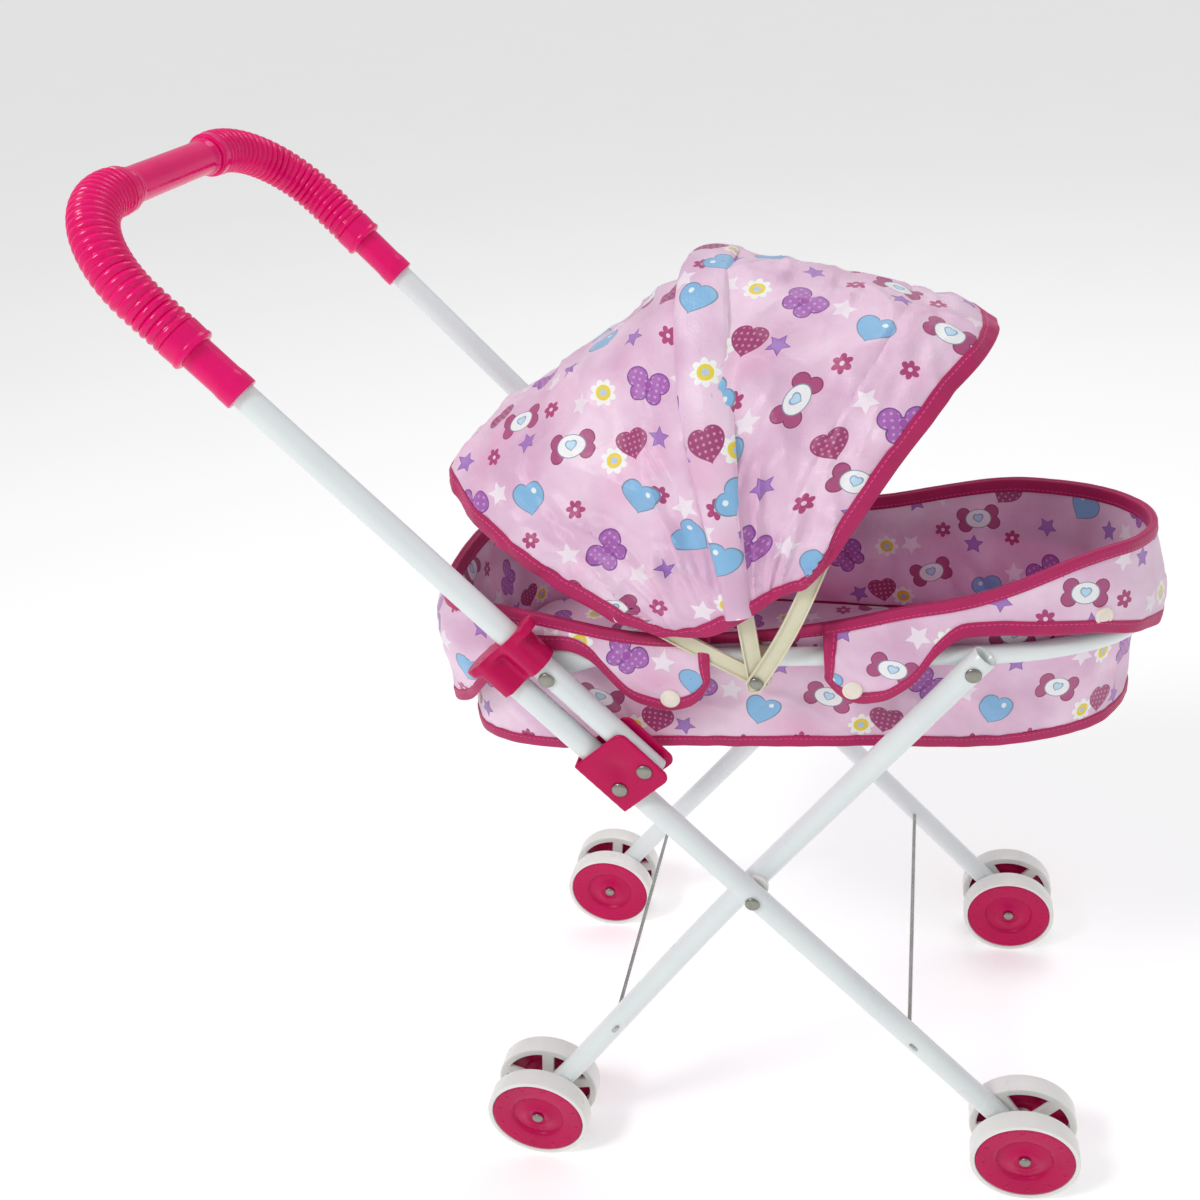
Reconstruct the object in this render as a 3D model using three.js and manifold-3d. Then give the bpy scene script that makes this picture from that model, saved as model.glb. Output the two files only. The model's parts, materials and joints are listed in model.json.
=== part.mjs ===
// Folding toy stroller for dolls: an X-frame of steel tube on eight wheels, a soft bassinet hung in an
// oval frame, a three-bow canopy and a U-shaped push handle that folds forward over the front legs.
// Units are millimetres and degrees. X points the way it is pushed, Y to its left side, Z up.
import * as THREE from 'three';
import { mergeVertices } from 'three/addons/utils/BufferGeometryUtils.js';
import Module from 'manifold-3d';

const wasm = await Module();
wasm.setup();

// ---- Driving dimensions ----
const GAP = 0.3;
const FINE = 0.2;
const SIDES = { right: -1, left: 1 };
const SIDE_SIGNS = Object.values(SIDES);

const TUBE = { radius: 6.35, wall: 0.9, sides: 12, heel: 8 };
const WHEEL = { radius: 30.5, width: 11.5, rim: 2.7, facets: 20, spokes: 5 };
const AXLE = { front: 195.9, rear: -88.1 };
const TRACK = { outer: 99, inner: 83.3 };
const LEG_ANGLE = { front: 49, rear: 51.4 };
const PIN = { radius: 2, hole: 2.3, head: 4, rise: 1.3 };

const HANDLE = { offset: 18, pivot: 96.8, foot: 90, top: 362, bar: 459.4, bend: 50 };
const SLEEVE = { radius: 8.4, bore: 6.85, start: 354.6 };
const GRIP = { radius: 11.2, bore: 9.6, start: 380.5, barHalf: 40 };
const LOCK = { bottom: 170, top: 192, wall: 2.65, legTop: 186.5 };
const WING = { high: 34, low: -13, round: 8, thick: 5 };
const BRACKET = { bottom: 85, top: 121, low: -8.7, high: 25.5, wall: 1.9 };

const RING = { radius: 4.75, wall: 0.8, height: 336.5, sides: 8, steps: 34 };
const RING_EYE = { reach: 7, overlap: 20, start: 14, half: 6, thick: 2.4, outer: 89.3 };
const TUB = { floor: 280, rim: 360, wall: 2.4, clearance: 4.6 };
const BOARD = { thick: 3, clearance: 0.5 };

const HUB = { x: 53.6, z: 329, pin: 1.6, hole: 1.9 };
const CLIP = { radius: 6.25, half: 6, bottom: 324.5, inner: 75, outer: 84.8 };
const BOW = { reach: 178, width: 8.6, thick: 1.7, tail: 6, bulge: 2.4, steps: 24 };
const BOWS = {
  rear: { angle: 151, half: 85.95 },
  middle: { angle: 97, half: 87.95 },
  front: { angle: 58.5, half: 89.95 },
};
const COVER = { thick: 1.6, half: 87, foot: 32, facets: 48, steps: 14 };

const FRONT_WIRE = 125.5;
const REAR_WIRE = 140;
const WIRE = { radius: 1.2, hole: 1.6, sides: 8, proud: 1.2 };

// Half the bassinet frame's plan, as places along X with the half width there, from the head to the foot.
const FRAME_PLAN = [
  [-120, 0], [-116, 40], [-103, 67], [-80, 79.5], [-46.5, 84.2], [0, 80.9], [54, 78.3],
  [110, 74.2], [156, 71.2], [192, 64], [226, 46], [242, 22], [246, 0],
];

// ---- Places worked out from them ----
const rad = THREE.MathUtils.degToRad;
const slope = { front: Math.tan(rad(LEG_ANGLE.front)), rear: Math.tan(rad(LEG_ANGLE.rear)) };
const crossX = (slope.front * AXLE.front + slope.rear * AXLE.rear) / (slope.front + slope.rear);
const crossing = new THREE.Vector3(crossX, 0, WHEEL.radius + slope.front * (AXLE.front - crossX));
const axleReach = {
  front: (AXLE.front - crossing.x) / Math.cos(rad(LEG_ANGLE.front)),
  rear: (crossing.x - AXLE.rear) / Math.cos(rad(LEG_ANGLE.rear)),
};
const ringRise = RING.height - crossing.z;
const footPivot = ringRise / Math.sin(rad(LEG_ANGLE.rear));
const headPivot = (ringRise - HANDLE.offset * Math.cos(rad(LEG_ANGLE.front))) / Math.sin(rad(LEG_ANGLE.front));
const headPivotX = crossing.x - headPivot * Math.cos(rad(LEG_ANGLE.front))
  + HANDLE.offset * Math.sin(rad(LEG_ANGLE.front));
const wheelSide = TUBE.radius + 0.45;

// ---- Materials ----
const paint = (color, roughness, metalness = 0) => new THREE.MeshStandardMaterial({ color, roughness, metalness });
const MATERIAL = {
  whiteTube: () => paint('#e9eeee', 0.3),
  pinkPlastic: () => paint('#e3186c', 0.35),
  whitePlastic: () => paint('#f1f3f0', 0.35),
  ivoryPlastic: () => paint('#ded9c0', 0.5),
  rivetSteel: () => paint('#8f9088', 0.35, 1),
  wireSteel: () => paint('#b9bab5', 0.3, 1),
  printedCloth: () => paint('#eab7d3', 0.75),
  board: () => paint('#f4d9e6', 0.8),
};

// ---- The scene graph ----
const stroller = new THREE.Group();

// Local +X runs down the front legs to the axle, and local +Z points away from them, towards the handle.
const frontFrame = new THREE.Group();
frontFrame.position.copy(crossing);
frontFrame.rotation.y = rad(LEG_ANGLE.front);

// Local +X runs up the rear legs to the bassinet frame.
const rearFrame = new THREE.Group();
rearFrame.position.copy(crossing);
rearFrame.rotation.y = -rad(LEG_ANGLE.rear);
stroller.add(frontFrame, rearFrame);

function place(parent, name, geometry, material, position = [0, 0, 0]) {
  const mesh = new THREE.Mesh(geometry, material);
  mesh.name = name;
  mesh.position.set(...position);
  parent.add(mesh);
  return mesh;
}

// ---- Solids ----
function toSolid(geometry) {
  const bare = geometry.index ? geometry.toNonIndexed() : geometry.clone();
  bare.deleteAttribute('normal');
  bare.deleteAttribute('uv');
  const merged = mergeVertices(bare, 1e-4);
  return new wasm.Manifold(new wasm.Mesh({
    numProp: 3,
    vertProperties: new Float32Array(merged.attributes.position.array),
    triVerts: new Uint32Array(merged.index.array),
  }));
}

function toGeometry(solid) {
  const mesh = solid.getMesh();
  const geometry = new THREE.BufferGeometry();
  geometry.setAttribute('position', new THREE.BufferAttribute(mesh.vertProperties, 3));
  geometry.setIndex(new THREE.BufferAttribute(mesh.triVerts, 1));
  return geometry;
}

const join = (...solids) => solids.reduce((sum, next) => sum.add(next));
const cut = (body, ...tools) => tools.reduce((rest, tool) => rest.subtract(tool), body);

function block(low, high) {
  const size = high.map((value, i) => value - low[i]);
  const geometry = new THREE.BoxGeometry(...size);
  geometry.translate(...high.map((value, i) => (value + low[i]) / 2));
  return toSolid(geometry);
}

// A round pin along Y through (x, z), from y0 to y1.
function pinAlongY(x, z, y0, y1, radius, sides = 12) {
  const geometry = new THREE.CylinderGeometry(radius, radius, Math.abs(y1 - y0), sides);
  geometry.translate(x, (y0 + y1) / 2, z);
  return toSolid(geometry);
}

function roundAlongX(x0, x1, z, radius, sides = 12) {
  const geometry = new THREE.CylinderGeometry(radius, radius, Math.abs(x1 - x0), sides);
  geometry.rotateZ(Math.PI / 2);
  geometry.translate((x0 + x1) / 2, 0, z);
  return toSolid(geometry);
}

function ringShape(outer, inner) {
  const shape = new THREE.Shape().absarc(0, 0, outer, 0, 2 * Math.PI);
  if (inner > 0) shape.holes.push(new THREE.Path().absarc(0, 0, inner, 0, 2 * Math.PI, true));
  return shape;
}

function sweep(shape, path, steps, sides = TUBE.sides) {
  return toSolid(new THREE.ExtrudeGeometry(shape, { steps, extrudePath: path, curveSegments: sides / 2 }));
}

function straightTube(x0, x1, y, z = 0) {
  const geometry = new THREE.ExtrudeGeometry(ringShape(TUBE.radius, TUBE.radius - TUBE.wall), {
    depth: x1 - x0, bevelEnabled: false, curveSegments: TUBE.sides / 2,
  });
  geometry.rotateY(Math.PI / 2);
  geometry.translate(x0, y, z);
  return toSolid(geometry);
}

function lathe(profile, facets = 8) {
  return new THREE.LatheGeometry(profile.map(([r, y]) => new THREE.Vector2(r, y)), facets);
}

// A rivet along Y: its shank from y0 to y1, with a domed head at each end that is asked for.
function rivet(y0, y1, { headLow = true, headHigh = true, radius = PIN.radius, head = PIN.head } = {}) {
  const dome = PIN.rise;
  const profile = [[0, y0]];
  if (headLow) {
    profile[0] = [0, y0 - dome];
    profile.push([head * 0.65, y0 - dome], [head, y0 - dome * 0.35], [head, y0]);
  }
  profile.push([radius, y0], [radius, y1]);
  if (headHigh) {
    profile.push([head, y1], [head, y1 + dome * 0.35], [head * 0.65, y1 + dome], [0, y1 + dome]);
  } else {
    profile.push([0, y1]);
  }
  return lathe(profile);
}

// A part of another curve, from fraction a to fraction b of its length.
class Stretch extends THREE.Curve {
  constructor(curve, a, b) {
    super();
    Object.assign(this, { curve, a, b });
  }

  getPoint(t, target = new THREE.Vector3()) {
    return this.curve.getPointAt(THREE.MathUtils.lerp(this.a, this.b, t), target);
  }
}

// A U of tube: a straight arm at each side, two quarter bends and a straight bar across the top.
class HandleCurve extends THREE.Curve {
  constructor() {
    super();
    this.arm = HANDLE.bar - HANDLE.bend - SLEEVE.start;
    this.arc = HANDLE.bend * Math.PI / 2;
    this.bar = 2 * (TRACK.outer - HANDLE.bend);
    this.total = 2 * this.arm + 2 * this.arc + this.bar;
  }

  // Where the path is after a distance d from its middle, on the left side.
  half(d) {
    const { bend, bar } = HANDLE;
    if (d < this.bar / 2) return [-bar, d];
    const turn = (d - this.bar / 2) / bend;
    if (turn < Math.PI / 2) {
      return [-bar + bend * (1 - Math.cos(turn)), this.bar / 2 + bend * Math.sin(turn)];
    }
    return [-bar + bend + d - this.bar / 2 - this.arc, TRACK.outer];
  }

  getPoint(t, target = new THREE.Vector3()) {
    const d = (t - 0.5) * this.total;
    const [x, y] = this.half(Math.abs(d));
    return target.set(x, Math.sign(d) * y, 0);
  }
}

// A canopy bow in its own plane: straight up from below the hub and over in a flattened arch.
class BowCurve extends THREE.Curve {
  constructor(reach, half, tail) {
    super();
    Object.assign(this, { reach, half, tail });
  }

  getPoint(t, target = new THREE.Vector3()) {
    const ends = 0.03;
    if (t < ends) return target.set(-this.tail * (1 - t / ends), -this.half, 0);
    if (t > 1 - ends) return target.set(-this.tail * (1 - (1 - t) / ends), this.half, 0);
    const angle = Math.PI * (t - ends) / (1 - 2 * ends);
    const across = Math.abs(Math.cos(angle)) ** (2 / BOW.bulge);
    const up = Math.abs(Math.sin(angle)) ** (2 / BOW.bulge);
    return target.set(this.reach * up, -Math.sign(Math.cos(angle)) * this.half * across, 0);
  }
}

// ---- Frame plan ----
function planCurve(stations) {
  return new THREE.CatmullRomCurve3(stations.map(([x, y]) => new THREE.Vector3(x, y, 0)), false, 'centripetal');
}

const fullPlan = planCurve([
  ...FRAME_PLAN.map(([x, half]) => [x, -half]),
  ...FRAME_PLAN.slice(1, -1).reverse(),
  FRAME_PLAN[0],
]);

// The plan's outline moved inwards by an inset, as a closed shape.
function planShape(inset, points = 44) {
  const outline = [];
  for (let i = 0; i < points; i += 1) {
    const at = fullPlan.getPointAt(i / points);
    const along = fullPlan.getTangentAt(i / points);
    outline.push(new THREE.Vector2(at.x - along.y * inset, at.y + along.x * inset));
  }
  return new THREE.Shape(outline);
}

function planSlab(inset, low, high) {
  const geometry = new THREE.ExtrudeGeometry(planShape(inset), { depth: high - low, bevelEnabled: false });
  geometry.translate(0, 0, low);
  return toSolid(geometry);
}

// ---- Legs, crossing and lateral wires ----
function addFrontLeg(name, side) {
  const y = side * TRACK.outer;
  const body = straightTube(-LOCK.legTop, axleReach.front + TUBE.heel, y);
  const holes = [
    [0, PIN.hole], [-HANDLE.pivot, PIN.hole], [FRONT_WIRE, WIRE.hole], [axleReach.front, PIN.hole],
  ].map(([x, r]) => pinAlongY(x, 0, y - TUBE.radius - 1, y + TUBE.radius + 1, r));
  place(frontFrame, `front_leg_${name}`, toGeometry(cut(body, ...holes)), MATERIAL.whiteTube());
}

// The rear legs pass inside the front ones, and below the crossing they bend out to the same track.
const rearLegPlan = [
  [-axleReach.rear - TUBE.heel, TRACK.outer], [-axleReach.rear + 33, TRACK.outer - 0.1], [-REAR_WIRE, 94.5], [-90, 89],
  [-32, TRACK.inner + 0.7], [0, TRACK.inner], [90, TRACK.inner], [footPivot + 9, TRACK.inner],
];

function rearLegOffset(x) {
  const after = rearLegPlan.findIndex(([at]) => at > x);
  const [x0, y0] = rearLegPlan[after - 1];
  const [x1, y1] = rearLegPlan[after];
  return y0 + (y1 - y0) * (x - x0) / (x1 - x0);
}

function addRearLeg(name, side) {
  const path = planCurve(rearLegPlan.map(([x, y]) => [x, side * y]));
  const body = sweep(ringShape(TUBE.radius, TUBE.radius - TUBE.wall), path, 9);
  const holes = [
    [0, PIN.hole], [footPivot, PIN.hole], [-REAR_WIRE, WIRE.hole], [-axleReach.rear, PIN.hole],
  ].map(([x, r]) => pinAlongY(x, 0, side * 70, side * 112, r));
  place(rearFrame, `rear_leg_${name}`, toGeometry(cut(body, ...holes)), MATERIAL.whiteTube());
}

function addCrossing(name, side) {
  const outside = TRACK.outer + TUBE.radius + FINE;
  const inside = TRACK.inner - TUBE.radius - FINE;
  const low = side > 0 ? inside : -outside;
  const high = side > 0 ? outside : -inside;
  place(frontFrame, `crossing_rivet_${name}`, rivet(low, high), MATERIAL.rivetSteel());
  const inner = TRACK.inner + TUBE.radius + FINE;
  const outer = TRACK.outer - TUBE.radius - FINE;
  const washer = lathe([[PIN.hole, inner], [7, inner], [7, outer], [PIN.hole, outer], [PIN.hole, inner]]);
  if (side < 0) washer.rotateX(Math.PI);
  place(frontFrame, `crossing_washer_${name}`, washer, MATERIAL.whitePlastic());
}

function addWires() {
  const wire = (half) => new THREE.CylinderGeometry(WIRE.radius, WIRE.radius, 2 * half, WIRE.sides);
  const frontHalf = TRACK.outer + TUBE.radius + WIRE.proud;
  const rearHalf = rearLegOffset(-REAR_WIRE) + TUBE.radius + WIRE.proud;
  place(frontFrame, 'front_cross_wire', wire(frontHalf), MATERIAL.wireSteel(), [FRONT_WIRE, 0, 0]);
  place(rearFrame, 'rear_cross_wire', wire(rearHalf), MATERIAL.wireSteel(), [-REAR_WIRE, 0, 0]);
}

// ---- Wheels ----
// Each wheel is a spoked white body with its open, spoked face at -Y and a dished disc in its +Y face.
function wheelBodyGeometry() {
  const { radius, width, rim, facets, spokes } = WHEEL;
  const half = width / 2;
  const hubTop = 2.5;
  const tread = radius / Math.cos(Math.PI / facets);
  const spoke = { thick: 2.5, width: 7, start: 4 };
  const rimRing = toSolid(lathe([
    [radius - rim, -half], [tread, -half], [tread, half], [radius - rim, half], [radius - rim, -half],
  ], facets)).rotate([0, 180 / facets, 0]);
  const hub = toSolid(lathe([[0, -half], [6, -half], [6, hubTop], [0, hubTop]]));
  const arms = Array.from({ length: spokes }, (_, i) => block(
    [spoke.start, -half, -spoke.width / 2],
    [radius - rim / 2, -half + spoke.thick, spoke.width / 2],
  ).rotate([0, 360 * i / spokes, 0]));
  return toGeometry(cut(join(rimRing, hub, ...arms), pinAlongY(0, 0, -half - 1, half + 1, PIN.hole)));
}

function wheelDiscGeometry() {
  const edge = WHEEL.radius - WHEEL.rim - GAP - FINE;
  const face = [[edge, 5.2], [24, 5.2], [15, 3.2], [PIN.hole, 4.4]];
  const back = face.map(([r, y]) => [r, y - 1.4]).reverse();
  return lathe([...face, ...back, face[0]], WHEEL.facets).rotateY(Math.PI / WHEEL.facets);
}

function addWheelPair(axle, name, side) {
  const y = side * TRACK.outer;
  const reach = wheelSide + WHEEL.width / 2;
  for (const [where, facing] of [['outer', side], ['inner', -side]]) {
    const wheel = new THREE.Group();
    wheel.position.set(AXLE[axle], y + facing * reach, WHEEL.radius);
    wheel.rotation.x = facing > 0 ? 0 : Math.PI;
    place(wheel, `${axle}_wheel_${name}_${where}`, wheelBodyGeometry(), MATERIAL.whitePlastic());
    place(wheel, `${axle}_disc_${name}_${where}`, wheelDiscGeometry(), MATERIAL.pinkPlastic());
    stroller.add(wheel);
  }
  const half = reach + 4.4 + FINE;
  const pin = rivet(-half, half, { head: 3.2 });
  place(stroller, `${axle}_axle_${name}`, pin, MATERIAL.rivetSteel(), [AXLE[axle], y, WHEEL.radius]);
}

// ---- Handle ----
function addHandleSide(name, side) {
  const y = side * TRACK.outer;
  const tube = cut(
    straightTube(-HANDLE.top, -HANDLE.foot, y, HANDLE.offset),
    pinAlongY(-HANDLE.pivot, HANDLE.offset, y - 8, y + 8, PIN.hole),
    pinAlongY(-headPivot, HANDLE.offset, y - 8, y + 8, PIN.hole),
  );
  place(frontFrame, `handle_tube_${name}`, toGeometry(tube), MATERIAL.whiteTube());

  const outside = TRACK.outer + TUBE.radius + FINE;
  const inside = TRACK.outer - TUBE.radius + 0.5;
  const pin = side > 0 ? rivet(inside, outside, { headLow: false }) : rivet(-outside, -inside, { headHigh: false });
  place(frontFrame, `handle_rivet_${name}`, pin, MATERIAL.rivetSteel(), [-headPivot, 0, HANDLE.offset]);
}

function addHandleTop() {
  const path = new HandleCurve();
  const bar = sweep(ringShape(SLEEVE.radius, SLEEVE.bore), path, 26);
  place(frontFrame, 'handle_bar', toGeometry(bar), MATERIAL.pinkPlastic(), [0, 0, HANDLE.offset]);

  const start = (GRIP.start - SLEEVE.start) / path.total;
  const end = 0.5 - GRIP.barHalf / path.total;
  for (const [name, a, b] of [['right', start, end], ['left', 1 - end, 1 - start]]) {
    const grip = sweep(ringShape(GRIP.radius, GRIP.bore), new Stretch(path, a, b), 12);
    place(frontFrame, `handle_grip_${name}`, toGeometry(grip), MATERIAL.pinkPlastic(), [0, 0, HANDLE.offset]);
  }
}

// ---- Pivot bracket and lock slider, one of each at each side ----
function addBracket(name, side) {
  const inner = TUBE.radius + 0.5;
  const outer = inner + BRACKET.wall;
  const channel = cut(
    block([-BRACKET.top, -outer, BRACKET.low], [-BRACKET.bottom, outer, BRACKET.high]),
    block([-BRACKET.top - 1, -inner, BRACKET.low + BRACKET.wall], [-BRACKET.bottom + 1, inner, BRACKET.high + 1]),
  );
  const corner = 5;
  const face = new THREE.Shape()
    .moveTo(-BRACKET.top, BRACKET.low - 1)
    .lineTo(-BRACKET.bottom, BRACKET.low - 1)
    .lineTo(-BRACKET.bottom, BRACKET.high - corner)
    .absarc(-BRACKET.bottom - corner, BRACKET.high - corner, corner, 0, Math.PI / 2)
    .absarc(-BRACKET.top + corner, BRACKET.high - corner, corner, Math.PI / 2, Math.PI);
  const rounding = new THREE.ExtrudeGeometry(face, { depth: 4 * outer, bevelEnabled: false, curveSegments: 4 });
  rounding.rotateX(Math.PI / 2);
  rounding.translate(0, 2 * outer, 0);
  const body = cut(
    channel.intersect(toSolid(rounding)),
    pinAlongY(-HANDLE.pivot, HANDLE.offset, -20, 20, PIN.hole),
    pinAlongY(-HANDLE.pivot, 0, -20, 20, PIN.hole),
  );
  place(frontFrame, `pivot_bracket_${name}`, toGeometry(body), MATERIAL.pinkPlastic(), [0, side * TRACK.outer, 0]);

  const reach = outer + FINE;
  for (const [kind, z] of [['handle_pivot_rivet', HANDLE.offset], ['bracket_rivet', 0]]) {
    const at = [-HANDLE.pivot, side * TRACK.outer, z];
    place(frontFrame, `${kind}_${name}`, rivet(-reach, reach), MATERIAL.rivetSteel(), at);
  }
}

function addLockSlider(name, side) {
  const shell = TUBE.radius + GAP + LOCK.wall;
  const bore = TUBE.radius + GAP + 0.05;
  const wing = new THREE.Shape()
    .absarc(WING.high - WING.round, 0, WING.round, -Math.PI / 2, Math.PI / 2)
    .absarc(WING.low + WING.round, 0, WING.round, Math.PI / 2, 3 * Math.PI / 2);
  const flange = new THREE.ExtrudeGeometry(wing, { depth: WING.thick, bevelEnabled: false, curveSegments: 6 });
  flange.rotateY(-Math.PI / 2);
  flange.translate(-LOCK.top + WING.thick, 0, 0);
  const body = join(
    roundAlongX(-LOCK.top, -LOCK.bottom, HANDLE.offset, shell),
    roundAlongX(-LOCK.top, -LOCK.bottom, 0, shell),
    block([-LOCK.top, -shell * 0.8, 0], [-LOCK.bottom, shell * 0.8, HANDLE.offset]),
    toSolid(flange),
  );
  // The hook over the leg's end is open on its far side, so that the leg leaves it when the handle turns.
  const hollow = cut(
    body,
    roundAlongX(-LOCK.top - 2, -LOCK.bottom + 2, HANDLE.offset, bore),
    roundAlongX(-LOCK.legTop - GAP, -LOCK.bottom + 2, 0, bore),
    block([-LOCK.legTop - GAP, -bore, -shell - 8], [-LOCK.bottom + 2, bore, 0]),
  );
  place(frontFrame, `lock_slider_${name}`, toGeometry(hollow), MATERIAL.pinkPlastic(), [0, side * TRACK.outer, 0]);
}

// ---- Bassinet frame: two U-shaped tubes whose flattened ends overlap at the handle ----
function framePart(stations, eyeX) {
  const tube = sweep(ringShape(RING.radius, RING.radius - RING.wall), planCurve(stations), RING.steps, RING.sides);
  const direction = Math.sign(stations[0][0] - headPivotX);
  const outer = RING_EYE.outer - (direction < 0 ? RING_EYE.thick + FINE : 0);
  const eyes = [-1, 1].map((side) => {
    const ys = [side * outer, side * (outer - RING_EYE.thick)].sort((a, b) => a - b);
    const xs = [eyeX - direction * RING_EYE.reach, eyeX + direction * RING_EYE.overlap].sort((a, b) => a - b);
    return block([xs[0], ys[0], -RING_EYE.half], [xs[1], ys[1], RING_EYE.half]);
  });
  return cut(join(tube, ...eyes), pinAlongY(eyeX, 0, -100, 100, PIN.hole));
}

function addBassinetFrame() {
  const side = (stations) => [
    ...stations.map(([x, half]) => [x, -half]),
    ...stations.filter(([, half]) => half > 0).reverse(),
  ];
  const front = side([[headPivotX + RING_EYE.start, 84.4], ...FRAME_PLAN.filter(([x]) => x > headPivotX + 20)]);
  const rear = side([
    [headPivotX - RING_EYE.start, 83.4],
    ...FRAME_PLAN.filter(([x]) => x < headPivotX - 20).reverse(),
  ]);
  const footHoles = SIDE_SIGNS.map((s) => pinAlongY(
    crossing.x + footPivot * Math.cos(rad(LEG_ANGLE.rear)), 0, s * 71, s * 82, PIN.hole,
  ));
  const at = [0, 0, RING.height];
  place(stroller, 'bassinet_frame_front', toGeometry(cut(framePart(front, headPivotX), ...footHoles)),
    MATERIAL.whiteTube(), at);
  place(stroller, 'bassinet_frame_rear', toGeometry(framePart(rear, headPivotX)), MATERIAL.whiteTube(), at);

  for (const [name, s] of Object.entries(SIDES)) {
    const head = TRACK.inner + TUBE.radius + FINE;
    const tip = 71.5;
    const foot = s > 0 ? rivet(tip, head, { headLow: false }) : rivet(-head, -tip, { headHigh: false });
    place(rearFrame, `foot_pivot_rivet_${name}`, foot, MATERIAL.rivetSteel(), [footPivot, 0, 0]);
  }
}

// ---- Soft bassinet and its floor board ----
function addBassinet() {
  const skin = RING.radius + TUB.clearance;
  const tub = cut(
    planSlab(skin, TUB.floor, TUB.rim),
    planSlab(skin + TUB.wall, TUB.floor + TUB.wall, TUB.rim + 5),
  );
  place(stroller, 'bassinet_tub', toGeometry(tub), MATERIAL.printedCloth());
  const low = TUB.floor + TUB.wall + BOARD.clearance;
  const board = planSlab(skin + TUB.wall + BOARD.clearance, low, low + BOARD.thick);
  place(stroller, 'floor_board', toGeometry(board), MATERIAL.board());
}

// ---- Canopy ----
function frameHalfAt(x) {
  const after = FRAME_PLAN.findIndex(([at]) => at > x);
  const [x0, y0] = FRAME_PLAN[after - 1];
  const [x1, y1] = FRAME_PLAN[after];
  return y0 + (y1 - y0) * (x - x0) / (x1 - x0);
}

function addHubClip(name, side) {
  const y = side * frameHalfAt(HUB.x);
  const rise = RING.height - HUB.z;
  const ring = (x0, x1, radius) => roundAlongX(x0, x1, rise, radius).translate([0, y, 0]);
  const lugY = [side * CLIP.inner, side * CLIP.outer].sort((a, b) => a - b);
  const body = cut(
    join(ring(-CLIP.half, CLIP.half, CLIP.radius),
      block([-CLIP.half, lugY[0], CLIP.bottom - HUB.z], [CLIP.half, lugY[1], rise])),
    ring(-CLIP.half - 1, CLIP.half + 1, RING.radius + 0.75),
    block([-CLIP.half - 1, -CLIP.inner, -20], [CLIP.half + 1, CLIP.inner, 20]),
    pinAlongY(0, 0, -100, 100, HUB.hole),
  );
  const at = [HUB.x, 0, HUB.z];
  place(stroller, `hub_clip_${name}`, toGeometry(body), MATERIAL.ivoryPlastic(), at);

  const outer = BOWS.front.half + BOW.thick / 2 + FINE;
  const style = { radius: HUB.pin, head: 3.2 };
  const pin = side > 0
    ? rivet(CLIP.inner + 1, outer, { ...style, headLow: false })
    : rivet(-outer, -CLIP.inner - 1, { ...style, headHigh: false });
  place(stroller, `hub_rivet_${name}`, pin, MATERIAL.rivetSteel(), at);
}

function bowFrame(angle) {
  const frame = new THREE.Group();
  frame.position.set(HUB.x, 0, HUB.z);
  frame.rotation.y = -rad(angle);
  stroller.add(frame);
  return frame;
}

function addBow(name, { angle, half }) {
  const w = BOW.width / 2;
  const t = BOW.thick / 2;
  const section = new THREE.Shape().moveTo(-w, -t).lineTo(w, -t).lineTo(w, t).lineTo(-w, t).closePath();
  const strip = sweep(section, new BowCurve(BOW.reach, half, BOW.tail), BOW.steps);
  const body = cut(strip, pinAlongY(0, 0, -100, 100, HUB.hole));
  place(bowFrame(angle), `canopy_bow_${name}`, toGeometry(body), MATERIAL.ivoryPlastic());
}

// A cover is the bow's arch turned about the hub's axis, cut off where the bows stand.
function addCover(name, lowAngle, highAngle) {
  const arch = (grow) => Array.from({ length: COVER.steps + 1 }, (_, i) => {
    const angle = Math.PI * (0.02 + 0.96 * i / COVER.steps);
    const across = Math.abs(Math.cos(angle)) ** (2 / BOW.bulge);
    const up = Math.abs(Math.sin(angle)) ** (2 / BOW.bulge);
    return [(BOW.reach + grow) * up, -Math.sign(Math.cos(angle)) * (COVER.half + grow) * across];
  });
  const profile = [...arch(COVER.thick / 2), ...arch(-COVER.thick / 2).reverse()];
  const dome = toSolid(lathe([...profile, profile[0]], COVER.facets));
  const margin = BOW.width / 2 + 0.5;
  const big = 400;
  // Each half space keeps what lies past a bow, with the bow's own half width left out.
  const past = block([-big, -big, margin], [big, big, big]).rotate([0, -lowAngle, 0]);
  const before = block([-big, -big, -big], [big, big, -margin]).rotate([0, -highAngle, 0]);
  const body = dome.intersect(past).intersect(before).subtract(pinAlongY(0, 0, -big, big, COVER.foot, 24));
  place(stroller, `canopy_cover_${name}`, toGeometry(body), MATERIAL.printedCloth(), [HUB.x, 0, HUB.z]);
}

// ---- Assembly ----
for (const [name, side] of Object.entries(SIDES)) {
  addFrontLeg(name, side);
  addRearLeg(name, side);
  addCrossing(name, side);
  addBracket(name, side);
  addLockSlider(name, side);
  addHandleSide(name, side);
  addHubClip(name, side);
  addWheelPair('front', name, side);
  addWheelPair('rear', name, side);
}
addWires();
addHandleTop();
addBassinetFrame();
addBassinet();
for (const [name, bow] of Object.entries(BOWS)) addBow(name, bow);
addCover('rear', BOWS.middle.angle, BOWS.rear.angle);
addCover('front', BOWS.front.angle, BOWS.middle.angle);

export default stroller;
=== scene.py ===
"""The looks of a folding doll stroller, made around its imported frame.

Lengths are millimetres until a mesh is made.
"""

import json
import math

import bmesh
import bpy
from mathutils import Matrix, Vector, noise

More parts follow.
